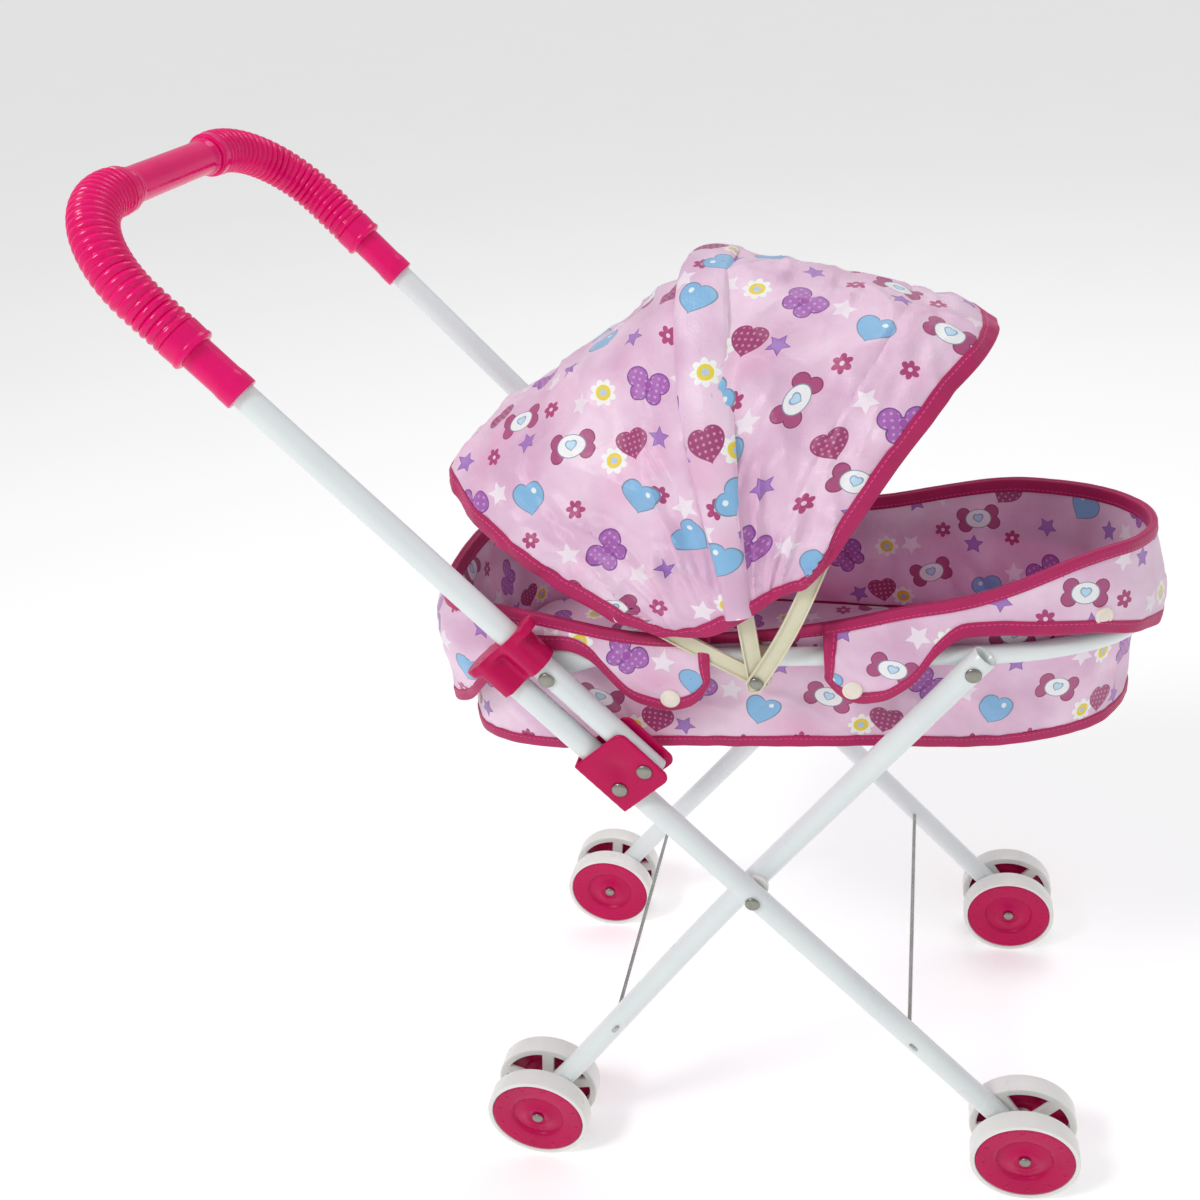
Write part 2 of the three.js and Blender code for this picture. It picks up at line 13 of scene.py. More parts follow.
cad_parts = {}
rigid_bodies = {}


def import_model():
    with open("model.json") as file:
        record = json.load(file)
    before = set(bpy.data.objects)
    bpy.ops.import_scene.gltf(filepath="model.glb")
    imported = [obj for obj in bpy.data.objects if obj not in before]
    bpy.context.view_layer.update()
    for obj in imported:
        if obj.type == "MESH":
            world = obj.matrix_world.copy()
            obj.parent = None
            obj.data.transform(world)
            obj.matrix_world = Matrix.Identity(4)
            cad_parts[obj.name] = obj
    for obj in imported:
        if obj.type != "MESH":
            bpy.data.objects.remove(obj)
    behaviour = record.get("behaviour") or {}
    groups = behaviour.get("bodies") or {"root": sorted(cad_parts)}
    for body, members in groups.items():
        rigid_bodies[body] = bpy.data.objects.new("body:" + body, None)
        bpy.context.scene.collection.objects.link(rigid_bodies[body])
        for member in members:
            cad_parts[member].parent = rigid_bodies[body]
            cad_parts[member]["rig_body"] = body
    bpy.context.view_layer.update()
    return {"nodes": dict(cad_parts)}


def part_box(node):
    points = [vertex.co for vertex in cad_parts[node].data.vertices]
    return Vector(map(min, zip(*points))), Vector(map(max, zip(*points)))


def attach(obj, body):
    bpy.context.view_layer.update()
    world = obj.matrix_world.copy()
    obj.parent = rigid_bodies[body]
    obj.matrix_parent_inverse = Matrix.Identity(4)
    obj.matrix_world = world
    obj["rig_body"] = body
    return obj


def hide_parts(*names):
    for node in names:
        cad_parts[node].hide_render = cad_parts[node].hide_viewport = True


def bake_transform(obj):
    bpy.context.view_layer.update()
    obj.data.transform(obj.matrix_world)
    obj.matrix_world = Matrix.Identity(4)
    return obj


bl_info = {
    "name": "Doll stroller looks",
    "version": (1, 0, 0),
    "blender": (4, 5, 0),
    "location": "View3D > Sidebar > Stroller",
    "description": "Makes the tubes, wheels, grips, printed bassinet and canopy of a folding doll stroller",
    "category": "Add Mesh",
}

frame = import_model()

MM = 0.001
UP = Vector((0, 0, 1))
ACROSS = Vector((0, 1, 0))
SIDES = {"right": -1, "left": 1}


def middle(node):
    """The centre of a node of the frame, in millimetres."""
    low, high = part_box(node)
    return (low + high) / (2 * MM)


def span(node):
    """The lowest and the highest corner of a node of the frame, in millimetres."""
    low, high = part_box(node)
    return low / MM, high / MM


# ---- Places on the frame ----
CROSSING = middle("crossing_rivet_right")
CROSSING.y = 0
FRONT_ANGLE = math.radians(49)
REAR_ANGLE = math.radians(51.4)
DOWN_FRONT = Vector((math.cos(FRONT_ANGLE), 0, -math.sin(FRONT_ANGLE)))
OFF_FRONT = Vector((math.sin(FRONT_ANGLE), 0, math.cos(FRONT_ANGLE)))
UP_REAR = Vector((math.cos(REAR_ANGLE), 0, math.sin(REAR_ANGLE)))
OFF_REAR = Vector((-math.sin(REAR_ANGLE), 0, math.cos(REAR_ANGLE)))

# Distances along the front legs and out to their centre lines; a minus sign is above the crossing.
OUTER_TRACK = 99.0
LEG_TOP = -186.5
LEG_HEEL = 233.7
HANDLE_OFFSET = 18.0
HANDLE_TOP = -362.0
HANDLE_FOOT = -90.0
FRONT_WIRE = 125.5
REAR_WIRE = -140.0
HUB = middle("hub_rivet_right")
HUB.y = 0
RING_HEIGHT = middle("bassinet_frame_front").z
BOW_ANGLES = {"rear": 151.0, "middle": 97.0, "front": 58.5}
BOW_HALVES = {"rear": 85.95, "middle": 87.95, "front": 89.95}

# How far up the leg and how far out the rear leg's line runs, from its foot to its open top.
REAR_LEG = [
    (-225.9, 99.0), (-184.9, 98.9), (-140.0, 94.5), (-90.0, 89.0),
    (-32.0, 84.0), (0.0, 83.3), (90.0, 83.3), (182.6, 83.3),
]

# Half the bassinet frame's plan: places along X with the half width there, from the head to the foot.
RING_PLAN = [
    (-120, 0), (-116, 40), (-103, 67), (-80, 79.5), (-46.5, 84.2), (0, 80.9), (54, 78.3),
    (110, 74.2), (156, 71.2), (192, 64), (226, 46), (242, 22), (246, 0),
]


def on_front(down, out, off=0.0):
    """A place in the front legs' own directions, measured from the crossing."""
    return CROSSING + DOWN_FRONT * down + ACROSS * out + OFF_FRONT * off


def on_rear(up, out, off=0.0):
    """A place in the rear legs' own directions, measured from the crossing."""
    return CROSSING + UP_REAR * up + ACROSS * out + OFF_REAR * off


def from_hub(angle, radius, out=0.0):
    """A place in the canopy: an angle in degrees above the front, and a distance, both from the hub."""
    turn = math.radians(angle)
    return HUB + Vector((math.cos(turn) * radius, out, math.sin(turn) * radius))


# ---- Numbers ----
def mix(a, b, share):
    return a + (b - a) * share


def smooth(value, low=0.0, high=1.0):
    """0 below low, 1 above high, and a soft step between them."""
    share = min(max((value - low) / (high - low), 0.0), 1.0)
    return share * share * (3 - 2 * share)


def along(table, at):
    """The second column of a table at a place in its first, with soft steps between the rows."""
    if at <= table[0][0]:
        return table[0][1]
    for (x0, y0), (x1, y1) in zip(table, table[1:]):
        if at <= x1:
            return mix(y0, y1, (at - x0) / (x1 - x0))
    return table[-1][1]


def eased(table, at, reach=6.0):
    """along(), averaged over a short reach, so that its corners are round."""
    places = [at + reach * (k / 3 - 1) for k in range(7)]
    return sum(along(table, place) for place in places) / len(places)


def ripple(place, size, seed=0.0):
    """Soft noise from -1 to 1, whose bumps are about size millimetres across."""
    return noise.noise(Vector(place) / size + Vector((seed, seed * 0.7, -seed)))


def ridges(place, size, seed=0.0):
    """Crisp crests from 0 to 1 on a smooth ground, as creases lie in satin."""
    return max(0.0, 1 - 2.6 * abs(ripple(place, size, seed))) ** 2


# ---- Lines ----
def flowing(points, steps=10, closed=False):
    """A smooth line through the points (a centripetal Catmull-Rom spline)."""
    last = len(points) - 1
    line = []
    for i in range(len(points) if closed else last):
        p1, p2 = points[i], points[(i + 1) % len(points)]
        p0 = points[i - 1] if closed or i else p1 + (p1 - p2)
        p3 = points[(i + 2) % len(points)] if closed or i + 1 < last else p2 + (p2 - p1)
        d0, d1, d2 = ((b - a).length ** 0.5 for a, b in ((p0, p1), (p1, p2), (p2, p3)))
        t1 = ((p1 - p0) / d0 - (p2 - p0) / (d0 + d1) + (p2 - p1) / d1) * d1
        t2 = ((p2 - p1) / d1 - (p3 - p1) / (d1 + d2) + (p3 - p2) / d2) * d1
        for k in range(steps):
            t = k / steps
            line.append(
                p1 * (2 * t**3 - 3 * t**2 + 1) + t1 * (t**3 - 2 * t**2 + t)
                + p2 * (3 * t**2 - 2 * t**3) + t2 * (t**3 - t**2)
            )
    if not closed:
        line.append(points[-1].copy())
    return line


def evenly(line, count):
    """The line again, as count points at equal distances."""
    reach = [0.0]
    for a, b in zip(line, line[1:]):
        reach.append(reach[-1] + (b - a).length)
    points = []
    j = 0
    for i in range(count):
        want = reach[-1] * i / (count - 1)
        while j < len(reach) - 2 and reach[j + 1] < want:
            j += 1
        share = (want - reach[j]) / max(reach[j + 1] - reach[j], 1e-9)
        points.append(line[j].lerp(line[j + 1], share))
    return points


def carried(points, up, closed=False):
    """Each point with the line's direction there and two directions across it, without twist."""
    places = []
    side = None
    for i, point in enumerate(points):
        before = points[i - 1] if i or closed else point
        after = points[(i + 1) % len(points)] if i + 1 < len(points) or closed else point
        ahead = (after - before).normalized()
        side = up if side is None else side
        side = (side - ahead * side.dot(ahead)).normalized()
        places.append((point, ahead, side, ahead.cross(side)))
    return places


# ---- Solids, each as (points, faces) ----
def loft(rings, around=True, joined=False, caps=True):
    """Faces between equal rings of points: around closes each ring, joined links the last to the first."""
    wide = len(rings[0])
    count = len(rings)
    faces = []
    for i in range(count if joined else count - 1):
        a, b = i * wide, (i + 1) % count * wide
        for j in range(wide if around else wide - 1):
            k = (j + 1) % wide
            faces.append((a + j, a + k, b + k, b + j))
    if caps and around and not joined:
        faces.append(tuple(reversed(range(wide))))
        faces.append(tuple(range((count - 1) * wide, count * wide)))
    return [point for ring in rings for point in ring], faces


def circle(radius, sides=32):
    turns = (2 * math.pi * i / sides for i in range(sides))
    return [(radius * math.cos(turn), radius * math.sin(turn)) for turn in turns]


def ring_at(place, section, shift=0.0):
    """A section's points set across the line at a place from carried()."""
    point, ahead, side, cross = place
    return [point + ahead * shift + side * a + cross * b for a, b in section]


def sweep(points, section, up=UP, closed=False):
    """A section carried along a line; section is its points, or a function of the share of the line."""
    places = carried(points, up, closed)
    rings = []
    for i, place in enumerate(places):
        outline = section(i / (len(places) - 1)) if callable(section) else section
        rings.append(ring_at(place, outline))
    return loft(rings, joined=closed)


TUBE_ENDS = {
    "round": [(0.0, 0.95), (0.1, 0.45), (0.45, 0.1), (0.95, 0.0)],
    "open": [(14.0, 0.9), (0.3, 0.9), (0.0, 0.68), (0.0, 0.22), (0.3, 0.0)],
}


def tube(points, radius, ends=("round", "round"), up=UP, sides=32):
    """A round tube along a line. An open end shows its wall and the dark inside."""
    places = carried(points, up)
    first = [ring_at(places[0], circle(radius - less, sides), inset) for inset, less in TUBE_ENDS[ends[0]]]
    last = [ring_at(places[-1], circle(radius - less, sides), -inset) for inset, less in TUBE_ENDS[ends[1]]]
    body = [ring_at(place, circle(radius, sides)) for place in places[1:-1]]
    return loft(first + body + last[::-1])


def lathe(profile, at, axis=ACROSS, steps=48):
    """A profile of (radius, height) turned about an axis; it is a closed loop if its ends meet."""
    axis = axis.normalized()
    side = axis.orthogonal().normalized()
    cross = axis.cross(side)
    closed = profile[0] == profile[-1]
    turns = [2 * math.pi * i / steps for i in range(steps)]
    rings = []
    for radius, height in profile[:-1] if closed else profile:
        ring = [at + axis * height + (side * math.cos(t) + cross * math.sin(t)) * radius for t in turns]
        rings.append(ring)
    return loft(rings, joined=closed)


def plate(outlines, thick, bevel=0.4):
    """A flat plate with round edges; the first outline is its outside and the others are its windows."""
    curve = bpy.data.curves.new("plate", "CURVE")
    curve.dimensions = "2D"
    curve.fill_mode = "BOTH"
    curve.extrude = thick / 2 - bevel
    curve.bevel_depth = bevel
    curve.bevel_resolution = 2
    curve.offset = -bevel
    for outline in outlines:
        spline = curve.splines.new("POLY")
        spline.points.add(len(outline) - 1)
        spline.use_cyclic_u = True
        for point, (x, y) in zip(spline.points, outline):
            point.co = (x, y, 0, 1)
    holder = bpy.data.objects.new("plate", curve)
    bpy.context.scene.collection.objects.link(holder)
    mesh = bpy.data.meshes.new_from_object(holder.evaluated_get(bpy.context.evaluated_depsgraph_get()))
    solid = ([v.co.copy() for v in mesh.vertices], [tuple(p.vertices) for p in mesh.polygons])
    bpy.data.objects.remove(holder)
    bpy.data.curves.remove(curve)
    bpy.data.meshes.remove(mesh)
    return solid


def moved(solid, matrix):
    points, *rest = solid
    return ([matrix @ point for point in points], *rest)


# ---- Objects ----
MERGE = 0.004


def make(name, solids, material, body, nodes=(), sharp=38.0):
    """One object of one or more solids. A solid may carry a cloth coordinate for each point, in metres."""
    bm = bmesh.new()
    cloth = bm.loops.layers.uv.new("Cloth")
    for points, faces, *flat in solids:
        corners = [bm.verts.new(point * MM) for point in points]
        for face in faces:
            new = bm.faces.new([corners[i] for i in face])
            if flat:
                for loop, i in zip(new.loops, face):
                    loop[cloth].uv = flat[0][i]
    bmesh.ops.remove_doubles(bm, verts=bm.verts, dist=MERGE * MM)
    bmesh.ops.recalc_face_normals(bm, faces=bm.faces)
    mesh = bpy.data.meshes.new(name)
    bm.to_mesh(mesh)
    bm.free()
    mesh.shade_smooth()
    mesh.set_sharp_from_angle(angle=math.radians(sharp))
    mesh.materials.append(material)
    made = bpy.data.objects.new(name, mesh)
    bpy.context.scene.collection.objects.link(made)
    if nodes:
        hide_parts(*nodes)
    if body:
        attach(made, body)
    return made


def moulded_from(node, name, material, shape=None, voxel=0.5, rounds=7):
    """A moulded part: the node's solid with its edges melted round, as a mould leaves them."""
    source = frame["nodes"][node]
    bm = bmesh.new()
    bm.from_mesh(source.data)
    bmesh.ops.remove_doubles(bm, verts=bm.verts, dist=1e-6)
    mesh = bpy.data.meshes.new(name)
    bm.to_mesh(mesh)
    bm.free()
    made = bpy.data.objects.new(name, mesh)
    bpy.context.scene.collection.objects.link(made)
    remesh = made.modifiers.new("voxels", "REMESH")
    remesh.mode = "VOXEL"
    remesh.voxel_size = voxel * MM
    melt = made.modifiers.new("melt", "SMOOTH")
    melt.factor = 0.5
    melt.iterations = rounds
    view = bpy.context.evaluated_depsgraph_get()
    final = bpy.data.meshes.new_from_object(made.evaluated_get(view))
    made.modifiers.clear()
    made.data = final
    if shape:
        for vertex in final.vertices:
            vertex.co = shape(vertex.co / MM) * MM
    final.shade_smooth()
    final.materials.clear()
    final.materials.append(material)
    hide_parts(node)
    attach(made, source["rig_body"])
    return made


# ---- Materials ----
def linear(code):
    """An sRGB hex colour as the linear colour that a shader takes."""
    parts = [int(code[i:i + 2], 16) / 255 for i in (1, 3, 5)]
    return [c / 12.92 if c <= 0.04045 else ((c + 0.055) / 1.055) ** 2.4 for c in parts] + [1.0]


def add_node(tree, kind, inputs=None, **settings):
    """Add a node with its settings and inputs. A node given as an input means its first output."""
    node = tree.nodes.new(kind)
    for key, value in settings.items():
        setattr(node, key, value)
    for key, value in (inputs or {}).items():
        if isinstance(value, bpy.types.Node):
            value = next(socket for socket in value.outputs if socket.enabled)
        if isinstance(value, bpy.types.NodeSocket):
            tree.links.new(value, node.inputs[key])
        else:
            node.inputs[key].default_value = value
    return node


MATH = "ShaderNodeMath"
VECTOR = "ShaderNodeVectorMath"
MIX = "ShaderNodeMix"
A_COLOUR, B_COLOUR = 6, 7
A_VECTOR, B_VECTOR = 4, 5


def new_material(name):
    old = bpy.data.materials.get(name)
    if old:
        return old, None
    material = bpy.data.materials.new(name)
    material.use_nodes = True
    material.node_tree.nodes.clear()
    return material, material.node_tree


def surface(tree, colour, rough, height, depth, constants):
    """The shader and output that every finish ends in; depth is the bump's depth in millimetres."""
    bump = add_node(tree, "ShaderNodeBump", {"Strength": 1.0, "Distance": depth * MM, "Height": height})
    shader = add_node(tree, "ShaderNodeBsdfPrincipled", {
        "Base Color": colour, "Roughness": rough, "Normal": bump, **constants,
    })
    add_node(tree, "ShaderNodeOutputMaterial", {"Surface": shader})


def solid_finish(name, code, shade, rough, grain, depth, patch, worn=None, **constants):
    """A plastic, paint or metal: a fine grain, broad patches of shade and gloss, and worn edges.

    grain, depth and patch are the grain's size, its depth and the patches' size in millimetres.
    """
    material, tree = new_material(name)
    if tree is None:
        return material
    place = add_node(tree, "ShaderNodeTexCoord").outputs["Object"]
    fine = add_node(tree, "ShaderNodeTexNoise", {"Vector": place, "Scale": 1000 / grain, "Detail": 3.0})
    broad = add_node(tree, "ShaderNodeTexNoise", {"Vector": place, "Scale": 1000 / patch, "Detail": 4.0})
    colour = add_node(tree, MIX, {
        0: broad, A_COLOUR: linear(shade), B_COLOUR: linear(code),
    }, data_type="RGBA").outputs[2]
    if worn:
        edge = add_node(tree, "ShaderNodeNewGeometry").outputs["Pointiness"]
        edge = add_node(tree, "ShaderNodeMapRange", {
            "Value": edge, "From Min": 0.53, "From Max": 0.62, "To Min": 0.0, "To Max": 0.55,
        })
        rubbed = add_node(tree, MATH, {0: edge, 1: fine}, operation="MULTIPLY")
        colour = add_node(tree, MIX, {
            0: rubbed, A_COLOUR: colour, B_COLOUR: linear(worn),
        }, data_type="RGBA").outputs[2]
    gloss = add_node(tree, "ShaderNodeMapRange", {
        "Value": broad, "From Min": 0.3, "From Max": 0.7, "To Min": rough - 0.06, "To Max": rough + 0.07,
    })
    surface(tree, colour, gloss, fine.outputs["Fac"], depth, constants)
    return material


def powder_coat():
    # Powder-coated mild steel tube: sprayed and baked, so it has a faint orange peel and a soft gloss.
    return solid_finish(
        "powder_coated_steel", "#EEF4F3", "#DDE5E5", 0.3, 2.4, 0.035, patch=40, worn="#B9BFBE",
        **{"Coat Weight": 0.25, "Coat Roughness": 0.15},
    )


def pink_plastic():
    # Injection-moulded polypropylene in hot pink: a smooth, slightly waxy skin that dents softly.
    return solid_finish(
        "moulded_polypropylene_pink", "#CE005A", "#B2004A", 0.3, 0.9, 0.012, patch=22, worn="#E83C88",
        **{"Subsurface Weight": 0.04, "Subsurface Scale": 0.002, "Specular IOR Level": 0.22},
    )


def grip_plastic():
    # Blow-moulded polyethylene in a lighter pink: thin, glossy walls that glow a little on the sunny side.
    return solid_finish(
        "blow_moulded_polyethylene_pink", "#F20A74", "#DE0066", 0.2, 0.9, 0.01, patch=18, worn="#FF4C9C",
        **{"Subsurface Weight": 0.1, "Subsurface Scale": 0.003, "Specular IOR Level": 0.3},
    )


def white_plastic():
    # Injection-moulded polystyrene in warm white: glossier on the tread, with a faint flow pattern.
    return solid_finish(
        "moulded_polystyrene_white", "#F5F5F2", "#E9E9E4", 0.32, 1.2, 0.025, patch=15, worn="#D8D8D2",
        **{"Subsurface Weight": 0.08, "Subsurface Scale": 0.002},
    )


def ivory_plastic():
    # Natural polyethylene strip and clips: undyed, so creamy, waxy and slightly see-through at the edges.
    return solid_finish(
        "moulded_polyethylene_ivory", "#E4E0C6", "#D3CEB0", 0.42, 1.0, 0.03, patch=12,
        **{"Subsurface Weight": 0.18, "Subsurface Scale": 0.003},
    )


def rivet_steel():
    # Zinc-plated steel rivets: pressed heads, dull from the plating, with a fine mottle.
    return solid_finish(
        "zinc_plated_steel", "#A6A59C", "#85847B", 0.34, 0.7, 0.03, patch=3, Metallic=1.0,
    )


def wire_steel():
    # Bright drawn steel wire: smoother than the rivets, with fine marks from the die.
    return solid_finish(
        "drawn_steel_wire", "#C9CAC6", "#A9AAA6", 0.26, 0.5, 0.015, patch=9, Metallic=1.0,
    )


def snap_plastic():
    # Moulded acetal press studs: dense cream plastic caps with a clean gloss.
    return solid_finish(
        "moulded_acetal_cream", "#F6EEE2", "#E9DFCF", 0.25, 0.8, 0.012, patch=5,
        **{"Subsurface Weight": 0.12, "Subsurface Scale": 0.0015},
    )


# ---- Frame pieces ----
def add_front_legs():
    """Two straight tubes, from the front axle up to the lock sliders."""
    for name, side in SIDES.items():
        line = [on_front(LEG_TOP + (LEG_HEEL - LEG_TOP) * i / 24, side * OUTER_TRACK) for i in range(25)]
        leg = tube(line, length_of("tube_radius"), up=ACROSS)
        make(f"leg_front_{name}", [leg], powder_coat(), "front_frame",
             [f"front_leg_{name}"])


def add_rear_legs():
    """Two tubes from the rear axle, bent inwards below the crossing, with open tops."""
    for name, side in SIDES.items():
        line = evenly(flowing([on_rear(up, side * out) for up, out in REAR_LEG], 12), 60)
        leg = tube(line, length_of("tube_radius"), ("round", "open"), up=ACROSS)
        make(f"leg_rear_{name}", [leg], powder_coat(), "rear_frame",
             [f"rear_leg_{name}"])


RIVET = (2.0, 4.0)
HEAD_RISE = 1.3


def rivet_solid(node, radius, head, low=True, high=True, sides=28):
    """A rivet along Y over a node's own length: a shank with a pressed head at each end that has one."""
    bottom, top = span(node)
    at = middle(node)
    dome = [(head, 0.0), (head, 0.32), (head * 0.93, 0.72), (head * 0.74, 1.05), (head * 0.5, 1.24)]
    dome += [(head * 0.24, HEAD_RISE), (0.0, HEAD_RISE)]
    half = (top.y - bottom.y) / 2
    neck = half - HEAD_RISE
    if low:
        profile = [(r, -neck - h) for r, h in reversed(dome)] + [(radius, -neck)]
    else:
        profile = [(0.0, -half), (radius, -half)]
    if high:
        profile += [(radius, neck)] + [(r, neck + h) for r, h in dome]
    else:
        profile += [(radius, half), (0.0, half)]
    return lathe(profile, at, steps=sides)


def add_rivets():
    """The rivets of the legs and the handle, and the washers between the crossed legs."""
    for name, side in SIDES.items():
        crossing = rivet_solid(f"crossing_rivet_{name}", *RIVET)
        make(f"rivet_crossing_{name}", [crossing], rivet_steel(), "front_frame",
             [f"crossing_rivet_{name}"])
        low, high = span(f"crossing_washer_{name}")
        thick = high.y - low.y
        washer = [(2.2, 0.3), (2.6, 0.0), (6.5, 0.0), (7.0, 0.5), (7.0, thick - 0.5), (6.5, thick)]
        washer += [(2.6, thick), (2.2, thick - 0.3), (2.2, 0.3)]
        at = middle(f"crossing_washer_{name}")
        at.y = low.y
        make(f"washer_crossing_{name}", [lathe(washer, at)], white_plastic(), "front_frame",
             [f"crossing_washer_{name}"])
        foot = rivet_solid(f"foot_pivot_rivet_{name}", *RIVET, low=side < 0, high=side > 0)
        make(f"rivet_foot_{name}", [foot], rivet_steel(), "rear_frame",
             [f"foot_pivot_rivet_{name}"])
        head = rivet_solid(f"handle_rivet_{name}", *RIVET, low=side < 0, high=side > 0)
        make(f"rivet_handle_{name}", [head], rivet_steel(), "handle",
             [f"handle_rivet_{name}"])
        for node, label in (("handle_pivot_rivet", "pivot"), ("bracket_rivet", "bracket")):
            body = frame["nodes"][f"{node}_{name}"]["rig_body"]
            pin = rivet_solid(f"{node}_{name}", *RIVET)
            make(f"rivet_{label}_{name}", [pin], rivet_steel(), body, [f"{node}_{name}"])


WIRE_RADIUS = 1.2


def add_wires():
    """Each cross wire lies between the two legs of a pair, and its ends are bent over behind them."""
    for name, body, at, lean in (
        ("front", "front_frame", lambda y: on_front(FRONT_WIRE, y), DOWN_FRONT),
        ("rear", "rear_frame", lambda y: on_rear(REAR_WIRE, y), UP_REAR),
    ):
        node = f"{name}_cross_wire"
        low, high = span(node)
        reach = (high.y - low.y) / 2 - WIRE_RADIUS
        ends = []
        for side in (-1, 1):
            hook = [at(side * (reach - 9)), at(side * (reach - 2)), at(side * (reach - 0.4)) + lean * 1.0]
            hook += [at(side * reach) + lean * 3.2, at(side * (reach - 0.2)) + lean * 6.5]
            ends.append(hook)
        line = ends[0][::-1] + [at(0)] + ends[1]
        wire = tube(evenly(flowing(line, 8), 90), WIRE_RADIUS, up=lean, sides=14)
        make(f"wire_cross_{name}", [wire], wire_steel(), body, [node])


# ---- Wheels ----
SPOKES = 5
PIPS = 12


def wheel_solids(place):
    """A moulded wheel with five wide spokes in its open face, at -Y, turned and moved by a matrix."""
    radius = length_of("wheel_radius")
    rim = [
        (27.6, -5.2), (28.0, -5.7), (29.4, -5.75), (radius - 0.25, -5.45), (radius, -4.8),
        (radius, 4.8), (radius - 0.25, 5.45), (29.5, 5.75), (28.2, 5.7), (27.75, 5.3),
        (27.6, 3.0), (27.6, -5.2),
    ]
    hub = [(2.3, -5.6), (5.4, -5.75), (6.1, -5.2), (5.9, 2.5), (2.3, 2.5), (2.3, -5.6)]
    origin = Vector((0, 0, 0))
    windows = []
    for spoke in range(SPOKES):
        start = 2 * math.pi * spoke / SPOKES
        window = []
        for r, ahead in ((26.2, True), (9.2, False)):
            clear = math.asin(3.6 / r)
            turns = [start + clear + (2 * math.pi / SPOKES - 2 * clear) * i / 12 for i in range(13)]
            window += [(r * math.cos(t), r * math.sin(t)) for t in (turns if ahead else turns[::-1])]
        windows.append(window)
    face = plate([circle(28.2, 96), *windows], 2.6, 0.5)
    flat = Matrix.Translation((0, -4.4, 0)) @ Matrix.Rotation(math.pi / 2, 4, "X")
    return [moved(s, place) for s in (lathe(rim, origin, steps=96), lathe(hub, origin), moved(face, flat))]


def disc_solids(place):
    """The dished disc in a wheel's other face: a stepped ring, a recess round the axle and small pips."""
    front = [
        (2.5, 4.1), (5.2, 4.1), (5.7, 4.4), (6.2, 4.75), (7.0, 4.8), (7.6, 4.4), (11.0, 3.2), (14.4, 2.6),
        (15.2, 2.6), (15.8, 3.4), (16.4, 4.1), (17.3, 4.35), (21.0, 4.75), (25.2, 5.15), (26.4, 5.3),
        (27.1, 5.2), (27.35, 4.8), (27.35, 3.4),
    ]
    back = [(r, min(h, 4.9) - 1.4) for r, h in front[:-1]][::-1]
    solids = [lathe([*front, *back, front[0]], Vector((0, 0, 0)), steps=96)]
    pip = [(0.0, -0.4), (0.95, -0.4), (0.9, 0.12), (0.62, 0.34), (0.0, 0.42)]
    for i in range(PIPS):
        turn = 2 * math.pi * (i + 0.5) / PIPS
        at = Vector((23.6 * math.cos(turn), 5.0, 23.6 * math.sin(turn)))
        solids.append(lathe(pip, at, steps=16))
    return [moved(s, place) for s in solids]


def add_wheels():
    """A pair of wheels on each axle rivet, their discs facing away from the leg between them."""
    for axle in ("front", "rear"):
        for name, side in SIDES.items():
            pin = rivet_solid(f"{axle}_axle_{name}", 2.0, 3.3)
            body = frame["nodes"][f"{axle}_axle_{name}"]["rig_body"]
            make(f"axle_{axle}_{name}", [pin], rivet_steel(), body, [f"{axle}_axle_{name}"])
            for where, facing in (("outer", side), ("inner", -side)):
                wheel = f"{axle}_wheel_{name}_{where}"
                disc = f"{axle}_disc_{name}_{where}"
                at = middle(wheel)
                at.z = length_of("wheel_radius")
                turn = 0 if facing > 0 else math.pi
                start = Matrix.Rotation(math.radians(23 if axle == "front" else 61), 4, "Y")
                place = Matrix.Translation(at) @ Matrix.Rotation(turn, 4, "X") @ start
                body = frame["nodes"][wheel]["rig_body"]
                make(f"wheel_{axle}_{name}_{where}", wheel_solids(place), white_plastic(), body,
                     [wheel])
                make(f"hubcap_{axle}_{name}_{where}", disc_solids(place), pink_plastic(), body,
                     [disc])


# ---- Handle ----
HANDLE_BAR = -459.4
HANDLE_BEND = 50.0
SLEEVE_START = -354.6
GRIP_START = -380.5
GRIP_INNER = 40.0
SLEEVE_RADIUS = 8.4
GRIP_COLLAR = 10.5
GRIP_LIP = 6.0


def handle_place(reach, side):
    """A place on the handle's U, a distance from the middle of its bar."""
    straight = OUTER_TRACK - HANDLE_BEND
    arc = HANDLE_BEND * math.pi / 2
    if reach < straight:
        return on_front(HANDLE_BAR, side * reach, HANDLE_OFFSET)
    if reach < straight + arc:
        turn = (reach - straight) / HANDLE_BEND
        down = HANDLE_BAR + HANDLE_BEND * (1 - math.cos(turn))
        return on_front(down, side * (straight + HANDLE_BEND * math.sin(turn)), HANDLE_OFFSET)
    down = HANDLE_BAR + HANDLE_BEND + reach - straight - arc
    return on_front(down, side * OUTER_TRACK, HANDLE_OFFSET)


def handle_reach(down):
    """How far along the U from its middle a place on one of its arms is."""
    return down - HANDLE_BAR - HANDLE_BEND + OUTER_TRACK - HANDLE_BEND + HANDLE_BEND * math.pi / 2


def add_handle_tubes():
    """The two white arms, from inside the pink sleeve down to the brackets."""
    for name, side in SIDES.items():
        count = 20
        line = [
            on_front(mix(HANDLE_TOP, HANDLE_FOOT, i / count), side * OUTER_TRACK, HANDLE_OFFSET)
            for i in range(count + 1)
        ]
        arm = tube(line, length_of("tube_radius"), ("round", "open"), up=ACROSS)
        make(f"handle_arm_{name}", [arm], powder_coat(), "handle",
             [f"handle_tube_{name}"])


def profiled(places, radii, sides=40):
    """A round solid along a line whose radius changes from place to place."""
    return loft([ring_at(place, circle(radius, sides)) for place, radius in zip(places, radii)])


